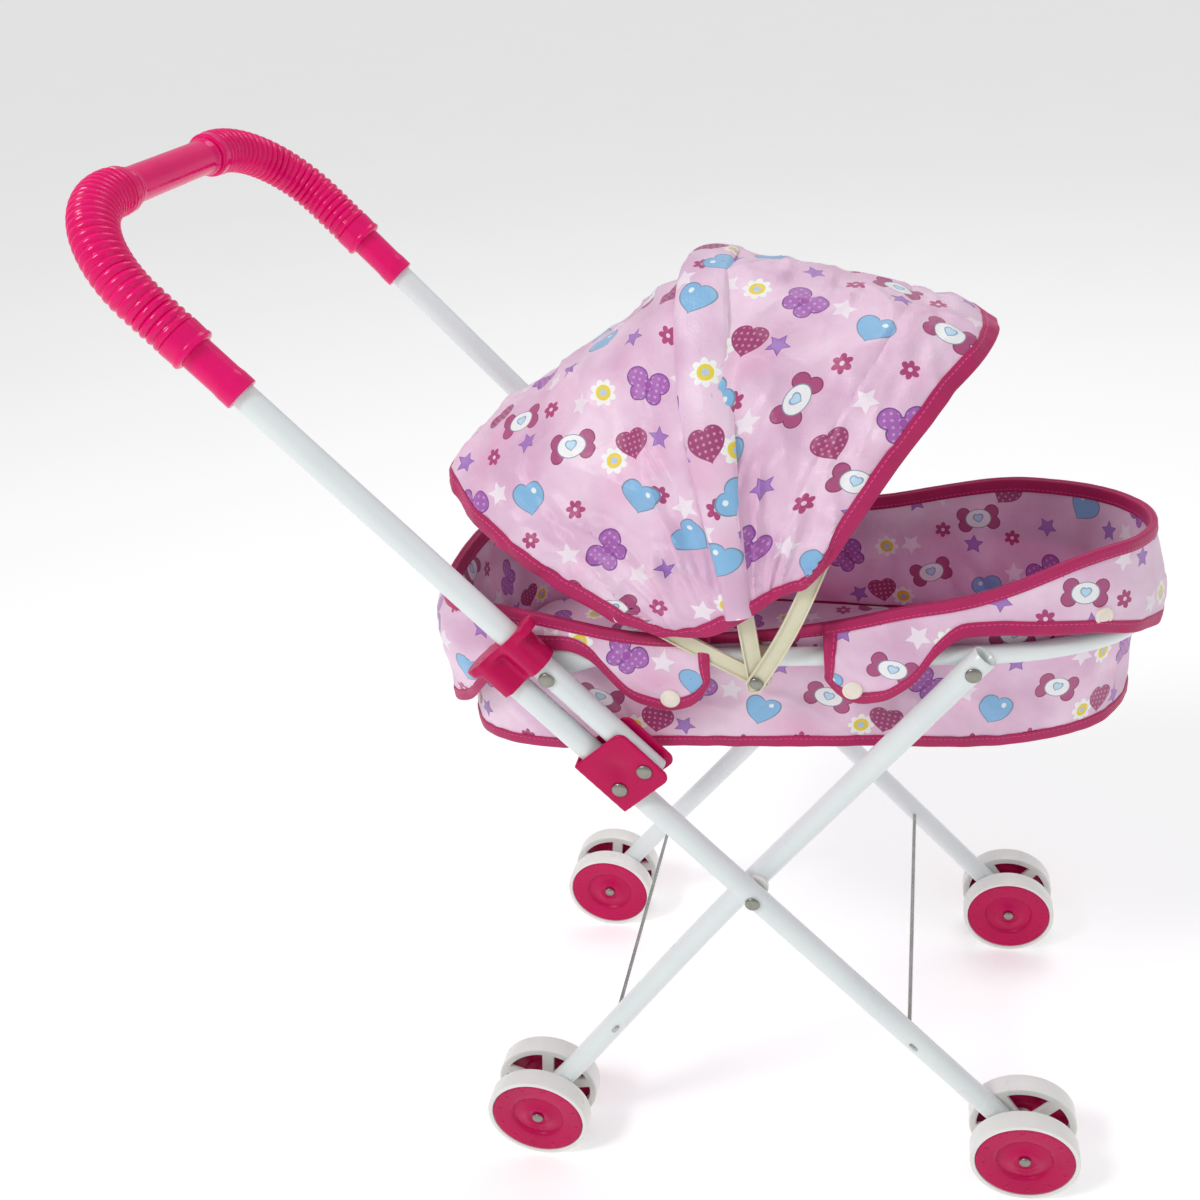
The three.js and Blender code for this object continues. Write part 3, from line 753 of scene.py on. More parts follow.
def add_handle_bar():
    """The bar's sleeve: a moulded U with a thicker collar where each end grips the tube."""
    reach = handle_reach(SLEEVE_START)
    steps = [mix(-reach, reach, i / 240) for i in range(241)]
    line = [handle_place(abs(at), -1 if at < 0 else 1) for at in steps]
    places = carried(line, OFF_FRONT)
    radii = []
    for at in steps:
        from_end = reach - abs(at)
        radius = SLEEVE_RADIUS + 0.35 * (1 - smooth(from_end, 6.0, 8.5))
        radius += 1.0 * (1 - smooth(abs(abs(at) - 37.5), 1.0, 3.0))
        radii.append(radius)
    body = profiled(places, radii)
    ends = []
    for place, sign in ((places[0], 1), (places[-1], -1)):
        rims = [ring_at(place, circle(r, 40), sign * shift) for r, shift in (
            (8.75, 0.02), (8.6, -0.35), (8.2, -0.55), (7.2, -0.55), (6.6, -0.35), (6.45, 3.0))]
        ends.append(loft(rims))
    make("handle_sleeve", [body, *ends], grip_plastic(), "handle", ["handle_bar"])


def add_grips():
    """Corrugated grips: round ribs between two plain collars."""
    ribs = bpy.context.scene.stroller_sizes.grip_ribs
    first, last = GRIP_INNER, handle_reach(GRIP_START)
    pitch = (last - first - GRIP_COLLAR - GRIP_LIP) / ribs
    count = ribs * 8 + 40
    steps = [mix(first, last, i / count) for i in range(count + 1)]
    for name, side in SIDES.items():
        places = carried([handle_place(at, side) for at in steps], OFF_FRONT)
        radii = []
        for at in steps:
            from_first, from_last = at - first, last - at
            if from_last < GRIP_COLLAR:
                radius = 10.9 + 0.3 * smooth(from_last, 0, GRIP_COLLAR)
                radius += 0.45 * (1 - smooth(abs(from_last - 1.6), 0.6, 1.6))
            elif from_first < GRIP_LIP:
                radius = 10.4 + 0.5 * smooth(from_first, 0, 2)
            else:
                wave = abs(math.sin(math.pi * (from_first - GRIP_LIP) / pitch))
                radius = 9.75 + 1.45 * wave ** 0.62
            ends = min(from_first, from_last)
            radii.append(radius - 0.9 * (1 - smooth(ends, -0.2, 0.9)))
        grip = profiled(places, radii, 48)
        make(f"grip_ribbed_{name}", [grip], grip_plastic(), "handle",
             [f"handle_grip_{name}"])


def add_brackets_and_locks():
    """The pivot brackets and the lock sliders, melted round from their solids."""
    def from_leg(point, side):
        """A place's distances down the leg, off it towards the handle, and out from its centre line."""
        local = point - CROSSING
        return local.dot(DOWN_FRONT), local.dot(OFF_FRONT), point.y - side * OUTER_TRACK

    for name, side in SIDES.items():
        def dented(point, side=side):
            """A shallow thumb dent in each cheek of the bracket."""
            down, off, out = from_leg(point, side)
            near = math.exp(-((down + 106) ** 2 + (off - 8) ** 2) / 38)
            if abs(out) > 6.6:
                point = point - ACROSS * math.copysign(1.7 * near, out)
            return point

        def waisted(point, side=side):
            """The slider's two barrels meet in a valley, below its flange."""
            down, off, out = from_leg(point, side)
            valley = math.exp(-((off - HANDLE_OFFSET / 2) ** 2) / 16) * smooth(down, -189.5, -186)
            return point - ACROSS * (0.42 * out * valley)

        for node, piece, shape, voxel, rounds in (
            (f"pivot_bracket_{name}", f"bracket_{name}", dented, 0.55, 6),
            (f"lock_slider_{name}", f"lock_{name}", waisted, 0.6, 14),
        ):
            moulded_from(node, piece, pink_plastic(), shape, voxel, rounds)


# ---- Bassinet frame and hubs ----
def plan_line():
    """The bassinet frame's plan: an even closed line, from the foot round the right side."""
    half = [Vector((x, -out, RING_HEIGHT)) for x, out in reversed(RING_PLAN)]
    other = [Vector((x, out, RING_HEIGHT)) for x, out in RING_PLAN[1:-1]]
    line = flowing(half + other, 16, closed=True)
    return evenly(line + [line[0]], 361)[:-1]


PLAN = plan_line()


def add_ring():
    """Two bent tubes whose ends are pressed flat, one over the other, at the handle's rivets."""
    eye_x = middle("handle_rivet_right").x
    radius = length_of("ring_radius")
    for name, keep, eye_y, node in (
        ("front", lambda p: p.x > eye_x + 16, 88.1, "bassinet_frame_front"),
        ("rear", lambda p: p.x < eye_x - 16, 85.5, "bassinet_frame_rear"),
    ):
        line = [p for p in PLAN if keep(p)]
        if name == "front":
            cut = max(range(1, len(line)), key=lambda i: (line[i] - line[i - 1]).length)
            line = line[cut:] + line[:cut]
        sign = 1 if line[0].y > 0 else -1
        toward = 1 if name == "front" else -1
        heads = []
        for end in (sign, -sign):
            heads.append([
                Vector((eye_x + toward * ahead, end * (eye_y - inset), RING_HEIGHT))
                for ahead, inset in ((-7, 0), (0, 0), (7, 0.1))
            ])
        line = evenly(flowing(heads[0] + line[::3] + heads[1][::-1], 6), 220)

        def section(share, line=line):
            at = line[round(share * (len(line) - 1))]
            flat = 1 - smooth(abs(at.x - eye_x), 8, 19)
            past = abs(at.x - eye_x) if (at.x - eye_x) * toward < -3 else 0
            rounded = 1 - smooth(abs(past - 7.0), 0.0, 4.0)
            tall = mix(radius, 6.4, flat) * (1 - 0.5 * rounded)
            thin = mix(radius, 1.2, flat)
            return [(tall * a, thin * b) for a, b in circle(1.0, 28)]

        make(f"ring_{name}", [sweep(line, section, UP)], powder_coat(),
             frame["nodes"][node]["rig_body"], [node])


# The power of the arch's squared-off curve, between an ellipse (1) and a box (0).
ARCH_POWER = 2 / 2.4
BOW_REACH = 178.0


def bow_line(half, tail=6.0, steps=96):
    """A canopy bow in its own plane, as (distance from the hub, place across)."""
    line = [(-tail, -half)]
    for i in range(steps + 1):
        turn = math.pi * i / steps
        flat = math.copysign(abs(math.cos(turn)) ** ARCH_POWER, math.cos(turn))
        line.append((BOW_REACH * math.sin(turn) ** ARCH_POWER, -half * flat))
    line.append((-tail, half))
    return line


# The front bow leans back into its pocket between the hub and the top, where the cloth pulls on it.
FRONT_BOW = [(0, 58.5), (22, 59), (50, 62), (77, 64.2), (124, 62), (160, 60), (182, 57.5)]


BOW_WIDTH = 8.6


def bow_angle(name, radius):
    """A bow's angle at a distance from the hub."""
    return eased(FRONT_BOW, radius, 15) if name == "front" else BOW_ANGLES[name]


def add_bows():
    """Each bow is a channel of flat strip with its two edges turned in, and round ends."""
    for name, angle in BOW_ANGLES.items():
        flow = evenly([from_hub(bow_angle(name, r), r, y) for r, y in bow_line(BOW_HALVES[name])], 150)
        turn = math.radians(angle)
        broad = Vector((-math.sin(turn), 0, math.cos(turn)))
        ends = len(flow) - 1

        def section(share, ends=ends):
            from_end = min(share, 1 - share) * ends * 4.2
            w = BOW_WIDTH / 2 * math.sqrt(max(0.12, 1 - (1 - min(from_end * 2 / BOW_WIDTH, 1)) ** 2))
            channel = [
                (-w, 0.85), (-w, -1.0), (-w + 0.9, -1.0), (-w + 0.9, -0.1), (w - 0.9, -0.1),
                (w - 0.9, -1.0), (w, -1.0), (w, 0.85),
            ]
            return [(a, -b) for a, b in channel]

        bow = sweep(flow, section, broad)
        make(f"bow_{name}", [bow], ivory_plastic(), f"canopy_{name}",
             [f"canopy_bow_{name}"], sharp=30)


def add_hubs():
    """The clips on the frame that carry the bows, and their rivets."""
    for name, side in SIDES.items():
        moulded_from(f"hub_clip_{name}", f"clip_hub_{name}", ivory_plastic(), None, 0.4, 3)
        pin = rivet_solid(f"hub_rivet_{name}", 1.6, 3.2, low=side < 0, high=side > 0)
        body = frame["nodes"][f"hub_rivet_{name}"]["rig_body"]
        make(f"rivet_hub_{name}", [pin], rivet_steel(), body, [f"hub_rivet_{name}"])


# ---- Printed satin ----
TILE = 116.0

# Where each motif stands in one repeat of the print: across, along (millimetres) and its turn in degrees.
PRINT = {
    "candy": [(-36, 29, 20), (24, -14, -68), (-10, -52, 12)],
    "ribbon": [(31, 37, 40), (-24, -22, -15)],
    "heart": [(-2, 20, 20), (50, -37, -25), (-54, -10, 50)],
    "dotted": [(52, 14, 10), (4, -36, -30)],
    "star": [(-12, 48, 0), (38, 12, 30), (-46, -44, 15), (30, -52, 40)],
    "flower": [(10, 54, 0), (-22, 3, 0), (52, -12, 0), (-30, 56, 0), (8, 2, 0)],
    "daisy": [(54, 44, 25), (-52, 12, 70)],
    "pale": [(13, 33, 10), (-48, 46, 40), (44, -22, 0), (-6, -14, 25), (-32, -40, 55)],
}
MOTIF_SIZE = {
    "candy": 9.0, "ribbon": 11.6, "heart": 8.8, "dotted": 8.4,
    "star": 6.0, "flower": 4.8, "daisy": 6.8, "pale": 6.4,
}


def nearest_motif(tree, place, spots, size):
    """The cloth's coordinate seen from the nearest of a motif's spots, where the motif is about 1 across."""
    best = None
    for across, up, turn in spots:
        off = add_node(tree, VECTOR, {0: place, 1: (across, up, 0)}, operation="SUBTRACT")
        near = add_node(tree, VECTOR, {
            0: off, 1: (TILE / 2, TILE / 2, 1), 2: (-TILE / 2, -TILE / 2, -1),
        }, operation="WRAP")
        turned = add_node(tree, "ShaderNodeVectorRotate", {
            "Vector": near, "Angle": math.radians(-turn),
        }, rotation_type="Z_AXIS")
        if best is None:
            best = turned
            continue
        a = add_node(tree, VECTOR, {0: best}, operation="LENGTH").outputs["Value"]
        b = add_node(tree, VECTOR, {0: turned}, operation="LENGTH").outputs["Value"]
        closer = add_node(tree, MATH, {0: b, 1: a}, operation="LESS_THAN")
        mixed = add_node(tree, MIX, {0: closer, A_VECTOR: best, B_VECTOR: turned}, data_type="VECTOR")
        best = mixed.outputs[1]
    return add_node(tree, VECTOR, {0: best, "Scale": 1 / size}, operation="SCALE")


def polar(tree, place):
    """Across, along, distance and angle of a motif's coordinate."""
    split = add_node(tree, "ShaderNodeSeparateXYZ", {0: place})
    x, y = split.outputs[0], split.outputs[1]
    distance = add_node(tree, VECTOR, {0: place}, operation="LENGTH").outputs["Value"]
    angle = add_node(tree, MATH, {0: y, 1: x}, operation="ARCTAN2")
    return x, y, distance, angle


def petals(tree, distance, angle, count, deep, phase=0.0):
    """A signed distance to a rosette of round petals."""
    turn = add_node(tree, MATH, {0: angle, 1: count / 2, 2: phase}, operation="MULTIPLY_ADD")
    wave = add_node(tree, MATH, {0: add_node(tree, MATH, {0: turn}, operation="SINE")}, operation="ABSOLUTE")
    edge = add_node(tree, MATH, {0: wave, 1: deep, 2: 1.0 - deep}, operation="MULTIPLY_ADD")
    return add_node(tree, MATH, {0: distance, 1: edge}, operation="SUBTRACT")


def star_shape(tree, distance, angle):
    """A signed distance to a five-pointed star."""
    turn = add_node(tree, MATH, {0: angle, 1: math.pi / 2}, operation="SUBTRACT")
    fold = add_node(tree, MATH, {0: turn, 1: math.pi / 5}, operation="PINGPONG")
    lean = add_node(tree, MATH, {0: fold, 1: 1.112}, operation="SUBTRACT")
    cosine = add_node(tree, MATH, {0: lean}, operation="COSINE")
    reach = add_node(tree, MATH, {0: distance, 1: cosine}, operation="MULTIPLY")
    return add_node(tree, MATH, {0: reach, 1: 0.4426}, operation="SUBTRACT")


def heart_shape(tree, x, y):
    """A signed measure that is below zero inside a plump heart about 2 across."""
    wide = add_node(tree, MATH, {0: x}, operation="ABSOLUTE")
    lift = add_node(tree, MATH, {0: wide, 1: 0.5}, operation="POWER")
    rise = add_node(tree, MATH, {0: y, 1: 1.25, 2: 0.1}, operation="MULTIPLY_ADD")
    down = add_node(tree, MATH, {0: lift, 1: -0.62, 2: rise}, operation="MULTIPLY_ADD")
    a = add_node(tree, MATH, {0: x, 1: x}, operation="MULTIPLY")
    b = add_node(tree, MATH, {0: down, 1: down, 2: a}, operation="MULTIPLY_ADD")
    return add_node(tree, MATH, {0: b, 1: 1.0}, operation="SUBTRACT")


# The round parts of a tied ribbon: where each stands and its radius.
RIBBON_PARTS = [(-0.5, 0.2, 0.47), (0.5, 0.2, 0.47), (-0.33, -0.42, 0.36), (0.33, -0.42, 0.36), (0, 0, 0.28)]


def ribbon_shape(tree, place):
    """A signed distance to a tied ribbon: two big loops, two small tails and a knot."""
    nearest = None
    for x, y, radius in RIBBON_PARTS:
        off = add_node(tree, VECTOR, {0: place, 1: (x, y, 0)}, operation="DISTANCE").outputs["Value"]
        part = add_node(tree, MATH, {0: off, 1: radius}, operation="SUBTRACT")
        if nearest is None:
            nearest = part
            continue
        nearest = add_node(tree, MATH, {0: nearest, 1: part}, operation="MINIMUM")
    return nearest


def candy_shape(tree, x, y):
    """A signed distance to a sweet's wrapper: a waisted bar, each end opening in two round lobes."""
    wide = add_node(tree, MATH, {0: x}, operation="ABSOLUTE")
    tall = add_node(tree, MATH, {0: y}, operation="ABSOLUTE")
    fold = add_node(tree, "ShaderNodeCombineXYZ", {0: wide, 1: tall})
    lobe = add_node(tree, VECTOR, {0: fold, 1: (0.88, 0.36, 0)}, operation="DISTANCE").outputs["Value"]
    lobe = add_node(tree, MATH, {0: lobe, 1: 0.46}, operation="SUBTRACT")
    slope = add_node(tree, MATH, {0: wide, 1: -0.3, 2: tall}, operation="MULTIPLY_ADD")
    bar = add_node(tree, MATH, {0: slope, 1: 0.3}, operation="SUBTRACT")
    end = add_node(tree, MATH, {0: wide, 1: 1.12}, operation="SUBTRACT")
    bar = add_node(tree, MATH, {0: bar, 1: end}, operation="MAXIMUM")
    return add_node(tree, MATH, {0: lobe, 1: bar}, operation="MINIMUM")


def dots(tree, place, pitch):
    """Small round dots at a pitch, above zero inside a dot."""
    cell = add_node(tree, VECTOR, {0: place, 1: (pitch, pitch, 1), 2: (0, 0, 0)}, operation="WRAP")
    off = add_node(tree, VECTOR, {0: cell, 1: (pitch / 2, pitch / 2, 0)}, operation="DISTANCE")
    off = off.outputs["Value"]
    return add_node(tree, MATH, {0: pitch * 0.22, 1: off}, operation="SUBTRACT")


def painted(tree, base, measure, edge, code, band=None):
    """Base with a colour laid over it where a measure is below an edge, or lies in a band beside it."""
    inside = add_node(tree, MATH, {0: measure, 1: edge}, operation="LESS_THAN")
    if band:
        beyond = add_node(tree, MATH, {0: measure, 1: edge - band}, operation="GREATER_THAN")
        inside = add_node(tree, MATH, {0: inside, 1: beyond}, operation="MULTIPLY")
    colour = code if isinstance(code, bpy.types.NodeSocket) else linear(code)
    laid = add_node(tree, MIX, {0: inside, A_COLOUR: base, B_COLOUR: colour}, data_type="RGBA")
    return laid.outputs[2]


def print_motifs(tree, place, ground):
    """Every motif of the print over a ground colour. place is the cloth's coordinate in millimetres."""
    seen = {name: nearest_motif(tree, place, spots, MOTIF_SIZE[name]) for name, spots in PRINT.items()}
    colour = ground

    _, _, r, turn = polar(tree, seen["pale"])
    colour = painted(tree, colour, star_shape(tree, r, turn), 0.0, "#FBE9F5")

    _, _, r, turn = polar(tree, seen["star"])
    star = star_shape(tree, r, turn)
    colour = painted(tree, colour, star, 0.0, "#A878C6")
    colour = painted(tree, colour, star, 0.0, "#8C5BAE", band=0.07)

    _, _, r, turn = polar(tree, seen["flower"])
    colour = painted(tree, colour, petals(tree, r, turn, 6, 0.42), 0.0, "#B23A78")
    colour = painted(tree, colour, r, 0.22, "#F3D3E4")

    _, _, r, turn = polar(tree, seen["daisy"])
    colour = painted(tree, colour, petals(tree, r, turn, 8, 0.3), 0.0, "#FDF8F6")
    colour = painted(tree, colour, r, 0.56, "#F2D531")
    colour = painted(tree, colour, r, 0.26, "#B9CDE6")

    x, y, _, _ = polar(tree, seen["heart"])
    heart = heart_shape(tree, x, y)
    colour = painted(tree, colour, heart, 0.1, "#7C93AE")
    colour = painted(tree, colour, heart, -0.08, "#86BDE6")
    shine = add_node(tree, VECTOR, {0: seen["heart"], 1: (-0.42, 0.5, 0)}, operation="DISTANCE")
    colour = painted(tree, colour, shine.outputs["Value"], 0.15, "#F4FAFE")

    x, y, _, _ = polar(tree, seen["dotted"])
    heart = heart_shape(tree, x, y)
    colour = painted(tree, colour, heart, 0.0, "#A23A72")
    speck = add_node(tree, MATH, {
        0: add_node(tree, MATH, {0: dots(tree, seen["dotted"], 0.34), 1: 0.0}, operation="GREATER_THAN"),
        1: add_node(tree, MATH, {0: heart, 1: -0.2}, operation="LESS_THAN"),
    }, operation="MULTIPLY")
    colour = add_node(tree, MIX, {
        0: speck, A_COLOUR: colour, B_COLOUR: linear("#D98BB4"),
    }, data_type="RGBA").outputs[2]

    _, _, r, _ = polar(tree, seen["ribbon"])
    ribbon = ribbon_shape(tree, seen["ribbon"])
    colour = painted(tree, colour, ribbon, 0.0, "#7E3F94")
    fill = add_node(tree, MATH, {0: dots(tree, seen["ribbon"], 0.27), 1: 0.0}, operation="GREATER_THAN")
    weave = add_node(tree, MIX, {
        0: fill, A_COLOUR: linear("#AC63B6"), B_COLOUR: linear("#CE9AD6"),
    }, data_type="RGBA")
    colour = painted(tree, colour, ribbon, -0.06, weave.outputs[2])
    colour = painted(tree, colour, r, 0.17, "#A24FA8")

    x, y, _, _ = polar(tree, seen["candy"])
    candy = candy_shape(tree, x, y)
    colour = painted(tree, colour, candy, 0.0, "#8B2D5C")
    colour = painted(tree, colour, candy, -0.06, "#B04A80")
    oval = add_node(tree, VECTOR, {0: seen["candy"], 1: (0.94, 1.22, 1.0)}, operation="MULTIPLY")
    oval = add_node(tree, VECTOR, {0: oval}, operation="LENGTH").outputs["Value"]
    colour = painted(tree, colour, oval, 0.78, "#8793A8")
    colour = painted(tree, colour, oval, 0.72, "#FBF6F9")
    centre = add_node(tree, VECTOR, {0: seen["candy"], "Scale": 3.2}, operation="SCALE")
    x, y, _, _ = polar(tree, centre)
    heart = heart_shape(tree, x, y)
    colour = painted(tree, colour, heart, 0.15, "#8FA9CC")
    return painted(tree, colour, heart, -0.35, "#BFE0F5")


# A wave texture's scale is this over the pitch asked for; its bands come out about a tenth wider.
BAND = 0.2857


def printed_satin():
    # Heat-printed polyester satin: floats of bright thread give it a silky sheen. Its colour carries painted
    # shade in broad patches and a painted glow, brighter at its folds.
    material, tree = new_material("printed_polyester_satin")
    if tree is None:
        return material
    cloth = add_node(tree, "ShaderNodeUVMap", uv_map="Cloth")
    place = add_node(tree, VECTOR, {0: cloth, "Scale": 1000.0}, operation="SCALE")
    # Painted shade: about every 45 mm the ground moves between the lit pink and a darker painted shade,
    # standing in for the lit and shaded sides of folds.
    broad = add_node(tree, "ShaderNodeTexNoise", {
        "Vector": place, "Scale": 0.022, "Detail": 3.0, "Distortion": 0.3,
    })
    painted_shade_mask = add_node(tree, "ShaderNodeMapRange", {"Value": broad, "From Min": 0.34, "From Max": 0.64})
    ground = add_node(tree, MIX, {
        0: painted_shade_mask, A_COLOUR: colour_of("satin_painted_shade"), B_COLOUR: colour_of("satin"),
    }, data_type="RGBA")
    # Painted glow: streaks of saturated pink laid over the ground, standing in for light shining through the
    # satin's folds.
    ridge = add_node(tree, "ShaderNodeTexNoise", {
        "Vector": place, "Scale": 0.026, "Detail": 2.0, "Distortion": 0.6,
    })
    glow = add_node(tree, "ShaderNodeMapRange", {
        "Value": ridge, "From Min": 0.55, "From Max": 0.75, "To Min": 0.0, "To Max": 0.4,
    })
    ground = add_node(tree, MIX, {
        0: glow, A_COLOUR: ground.outputs[2], B_COLOUR: colour_of("satin_fold_glow"),
    }, data_type="RGBA")
    colour = print_motifs(tree, place, ground.outputs[2])
    # The satin's floats are 0.2 mm apart, too fine to show, so they are drawn 0.6 mm apart.
    weft = add_node(tree, "ShaderNodeTexWave", {
        "Vector": place, "Scale": BAND / 0.55, "Distortion": 0.6, "Detail": 1.0, "Detail Scale": 1.5,
    }, bands_direction="Y")
    warp = add_node(tree, "ShaderNodeTexWave", {
        "Vector": place, "Scale": BAND / 1.6, "Distortion": 1.5, "Detail": 1.0, "Detail Scale": 1.0,
    }, bands_direction="X")
    weave = add_node(tree, MATH, {0: warp, 1: 0.35, 2: weft}, operation="MULTIPLY_ADD")
    # Fine creases from folding the cloth, a few millimetres apart.
    crease = add_node(tree, "ShaderNodeTexNoise", {
        "Vector": place, "Scale": 0.11, "Detail": 5.0, "Roughness": 0.6,
    })
    height = add_node(tree, MATH, {0: crease, 1: 14.0, 2: weave}, operation="MULTIPLY_ADD")
    gloss = add_node(tree, "ShaderNodeMapRange", {
        "Value": crease, "From Min": 0.3, "From Max": 0.7, "To Min": 0.27, "To Max": 0.4,
    })
    surface(tree, colour, gloss, height, 0.05, {
        "Sheen Weight": 0.25, "Sheen Roughness": 0.35, "Sheen Tint": linear("#FFDCEF"), "Anisotropic": 0.5,
        "Specular IOR Level": 0.7, "Subsurface Weight": 0.2, "Subsurface Radius": (1.0, 0.3, 0.5),
        "Subsurface Scale": 0.004,
    })
    return material


def binding_tape():
    # Woven polyester bias tape in magenta: fine ribs across it, and a row of stitches near its inner edge.
    material, tree = new_material("woven_polyester_tape_magenta")
    if tree is None:
        return material
    cloth = add_node(tree, "ShaderNodeUVMap", uv_map="Cloth")
    place = add_node(tree, VECTOR, {0: cloth, "Scale": 1000.0}, operation="SCALE")
    split = add_node(tree, "ShaderNodeSeparateXYZ", {0: place})
    # Ribs 0.3 mm apart are drawn 0.9 mm apart, so that they show.
    ribs = add_node(tree, "ShaderNodeTexWave", {
        "Vector": place, "Scale": BAND / 0.8, "Distortion": 0.4, "Detail": 1.0,
    }, bands_direction="X")
    broad = add_node(tree, "ShaderNodeTexNoise", {"Vector": place, "Scale": 0.09, "Detail": 4.0})
    ground = add_node(tree, MIX, {
        0: broad, A_COLOUR: colour_of("tape_shade"), B_COLOUR: colour_of("tape"),
    }, data_type="RGBA").outputs[2]
    # A lock stitch every 2.6 mm, 1.7 mm long and 0.5 mm thick, 1.6 mm in from the tape's inner edge.
    cycle = add_node(tree, MATH, {0: split.outputs[0], 1: 2.6}, operation="MODULO")
    on = add_node(tree, MATH, {0: cycle, 1: 1.7}, operation="LESS_THAN")
    off = add_node(tree, MATH, {0: split.outputs[1], 1: 4.4}, operation="SUBTRACT")
    off = add_node(tree, MATH, {0: off}, operation="ABSOLUTE")
    near = add_node(tree, MATH, {0: off, 1: 0.24}, operation="LESS_THAN")
    stitch = add_node(tree, MATH, {0: on, 1: near}, operation="MULTIPLY")
    colour = add_node(tree, MIX, {
        0: stitch, A_COLOUR: ground, B_COLOUR: linear("#E0458E"),
    }, data_type="RGBA")
    height = add_node(tree, MATH, {0: stitch, 1: 2.5, 2: ribs}, operation="MULTIPLY_ADD")
    gloss = add_node(tree, "ShaderNodeMapRange", {
        "Value": broad, "From Min": 0.3, "From Max": 0.7, "To Min": 0.42, "To Max": 0.6,
    })
    surface(tree, colour.outputs[2], gloss, height, 0.07, {
        "Sheen Weight": 0.3, "Sheen Roughness": 0.4, "Sheen Tint": linear("#FF9CC8"),
    })
    return material


# ---- Cloth ----
def cloth_solid(rows, flat, thick=0.9, seam=False):
    """Rows of points as a thin cloth with both its faces; flat gives each point's cloth coordinate in mm.

    With seam, the first and last columns lie on each other and are left open, to join.
    """
    count, size = len(rows), len(rows[0])

    def normal(i, j):
        last = size - 1
        if seam and j in (0, last):
            along_row = rows[i][1] - rows[i][last - 1]
        else:
            along_row = rows[i][min(j + 1, last)] - rows[i][max(j - 1, 0)]
        down_row = rows[min(i + 1, count - 1)][j] - rows[max(i - 1, 0)][j]
        across = along_row.cross(down_row)
        return across.normalized() if across.length > 1e-9 else UP

    normals = [[normal(i, j) for j in range(size)] for i in range(count)]
    points, flats, faces = [], [], []
    for sign in (1, -1):
        for i in range(count):
            for j in range(size):
                points.append(rows[i][j] + normals[i][j] * (sign * thick / 2))
                u, v = flat[i][j]
                flats.append((u * MM, v * MM))
    back = count * size
    for i in range(count - 1):
        for j in range(size - 1):
            a, b = i * size + j, i * size + j + 1
            c, d = a + size + 1, a + size
            faces += [(a, b, c, d), (back + d, back + c, back + b, back + a)]
    edges = [(j, j + 1) for j in range(size - 1)]
    edges += [((count - 1) * size + j + 1, (count - 1) * size + j) for j in range(size - 1)]
    if not seam:
        edges += [((i + 1) * size, i * size) for i in range(count - 1)]
        edges += [(i * size + size - 1, (i + 1) * size + size - 1) for i in range(count - 1)]
    faces += [(b, a, back + a, back + b) for a, b in edges]
    return points, faces, flats


def inward_points(path, depths):
    """Places on a cloth at given distances in from its edge, along a line of its own points."""
    places = []
    for depth in depths:
        left, i = depth, 0
        while i < len(path) - 2 and left > (path[i + 1] - path[i]).length:
            left -= (path[i + 1] - path[i]).length
            i += 1
        share = min(left / max((path[i + 1] - path[i]).length, 1e-6), 1.0)
        places.append(path[i].lerp(path[i + 1], share))
    return places


# A binding's places across one of its halves, its nose over the edge, and how wide its flat cloth is.
TAPE_SHARES = (0.0, 0.25, 0.5, 0.75, 1.0)
TAPE_NOSE = ((0.6, 0.8), (0.95, 0.35), (0.95, -0.35), (0.6, -0.8))
TAPE_CLOTH = 6.0


def tape_solid(paths, width=6.0, thick=2.3, closed=False):
    """A binding folded over a cloth's edge. Each path runs from a point of the edge into the cloth."""
    last = len(TAPE_SHARES) - 1
    beds = [inward_points(path, [width * share for share in TAPE_SHARES]) for path in paths]
    count = len(beds)
    for _ in range(2):
        near = [(beds[i - 1], beds[i], beds[(i + 1) % count]) for i in range(count)]
        if not closed:
            near[0], near[-1] = (beds[0],) * 3, (beds[-1],) * 3
        beds = [[a[k] * 0.25 + b[k] * 0.5 + c[k] * 0.25 for k in range(last + 1)] for a, b, c in near]
    rings, flats = [], []
    reach = 0.0
    for i, bed in enumerate(beds):
        if i:
            reach += (bed[0] - beds[i - 1][0]).length
        after = beds[(i + 1) % count] if closed or i + 1 < count else bed
        before = beds[i - 1] if closed or i else bed
        pinch = 1 + 0.12 * ripple(bed[0], 7, 3) + 0.07 * ripple(bed[0], 3, 8)
        upper, lower = [], []
        for k, point in enumerate(bed):
            across = bed[min(k + 1, last)] - bed[max(k - 1, 0)]
            off = (after[k] - before[k]).cross(across).normalized() * (thick / 2 * pinch)
            full = 0.72 if k == last else 1.0
            upper.append((point + off * full, TAPE_CLOTH * TAPE_SHARES[k]))
            lower.append((point - off * full, TAPE_CLOTH * TAPE_SHARES[k]))
        out = (bed[0] - bed[1]).normalized()
        off = (upper[0][0] - lower[0][0]) / 2
        nose = [(bed[0] + out * r + off * h, 0.0) for r, h in TAPE_NOSE]
        ring = upper[::-1] + nose + lower
        rings.append([point for point, _ in ring])
        flats.append([(reach, v) for _, v in ring])
    if closed:
        reach += (beds[0][0] - beds[-1][0]).length
        rings.append(rings[0])
        flats.append([(reach, v) for _, v in flats[0]])
    points, faces = loft(rings, caps=not closed)
    return points, faces, [(u * MM, v * MM) for flat in flats for u, v in flat]


def grid_edges(rows):
    """A cloth's first row, last row, first column and last column, each as paths from the edge inwards."""
    columns = [list(column) for column in zip(*rows)]
    return columns, [column[::-1] for column in columns], rows, [row[::-1] for row in rows]


# ---- Bassinet ----
# Heights of the bassinet's cut edges by their place along X, on the right side and on the left.
RIM_RIGHT = [
    (-120, 353), (-104, 358), (-88, 362), (-61, 361), (-37, 356), (-14, 349), (10, 346), (57, 349),
    (80, 352), (103, 356), (125, 362), (148, 365), (170, 371), (191, 379), (213, 385), (232, 384), (246, 379),
]
RIM_LEFT = [
    (-120, 353), (-88, 349), (-50, 349), (0, 346), (60, 348), (107, 352), (139, 359), (175, 367), (200, 369),
    (236, 372), (246, 376),
]
